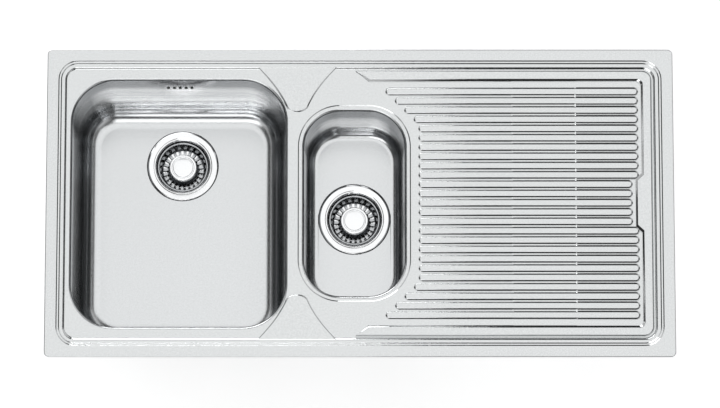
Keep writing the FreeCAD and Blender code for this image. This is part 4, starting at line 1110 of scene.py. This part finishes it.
class SINK_OT_fittings(bpy.types.Operator):
    """Models the hose and the outlets' threads, and finishes every fitting that the frame brings"""
    bl_idname = "sink.fittings"
    bl_label = "Fittings"

    def execute(self, context):
        hose, wastes = read_sizes(context.scene, "hose", "wastes")
        finishes = {slot: moulded_finish(*values) for slot, values in MOULDED.items()}
        finishes["zinc_steel"] = zinc_plated_steel()
        finishes["polished_steel"] = bpy.data.materials["polished_strainer_steel"]
        add_piece("corrugated_overflow_hose", make_hose(hose), finishes["grey_hose"],
                  "sink_body", ["overflow_hose"], 60)
        for name, centre, floor in each_waste(context.scene):
            add_piece(f"moulded_{name}_outlet_thread", make_outlet_threads(wastes, centre, floor),
                      finishes["white_plastic"], "sink_body")
        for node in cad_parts.values():
            for place in node.material_slots:
                if place.material and place.material.name in finishes:
                    place.material = finishes[place.material.name]
        return {"FINISHED"}


class SINK_OT_stage(bpy.types.Operator):
    """Sets the floor, the lights and the camera"""
    bl_idname = "sink.stage"
    bl_label = "Stage"

    def execute(self, context):
        sizes = context.scene.sink_stage
        make_floor(sizes)
        make_world(sizes.room_grey, sizes.room_corners)
        for name, lamp in LAMPS.items():
            make_lamp(name, getattr(sizes, name), *lamp)
        camera = bpy.data.cameras.new("camera")
        camera.lens = SENSOR_WIDTH * sizes.camera_far / sizes.seen_width
        camera.clip_end = 100
        lift = sizes.camera_lift
        place = CAMERA_AIM + Vector((0, -cos(lift), sin(lift))) * sizes.camera_far
        context.scene.camera = place_object("camera", camera, place, (QUARTER - lift, 0, 0))
        context.scene.view_settings.view_transform = "Standard"
        return {"FINISHED"}


class SINK_PT_panel(bpy.types.Panel):
    """Lists the sink's pieces"""
    bl_label = "Inset kitchen sink"
    bl_idname = "SINK_PT_panel"
    bl_space_type = "VIEW_3D"
    bl_region_type = "UI"
    bl_category = "Sink"

    def draw(self, context):
        for operator in OPERATORS:
            self.layout.operator(operator.bl_idname)


GROUPS = {"sink_deck": DeckSizes, "sink_drainer": DrainerSizes, "sink_main_bowl": BowlSizes,
          "sink_half_bowl": BowlSizes, "sink_wastes": WasteSizes, "sink_hose": HoseSizes,
          "sink_stage": StageSizes}
OPERATORS = (SINK_OT_deck, SINK_OT_bowls, SINK_OT_strainers, SINK_OT_fittings, SINK_OT_stage)
CLASSES = (DeckSizes, DrainerSizes, BowlSizes, WasteSizes, HoseSizes, StageSizes, *OPERATORS,
           SINK_PT_panel)


def register():
    for each in CLASSES:
        bpy.utils.register_class(each)
    for name, group in GROUPS.items():
        setattr(bpy.types.Scene, name, PointerProperty(type=group))


def unregister():
    for name in GROUPS:
        delattr(bpy.types.Scene, name)
    for each in reversed(CLASSES):
        bpy.utils.unregister_class(each)


def main():
    register()
    for name, value in HALF_BOWL.items():
        setattr(bpy.context.scene.sink_half_bowl, name, value)
    for operator in OPERATORS:
        group, name = operator.bl_idname.split(".")
        getattr(getattr(bpy.ops, group), name)()
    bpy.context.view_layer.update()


if __name__ == "__main__":
    main()
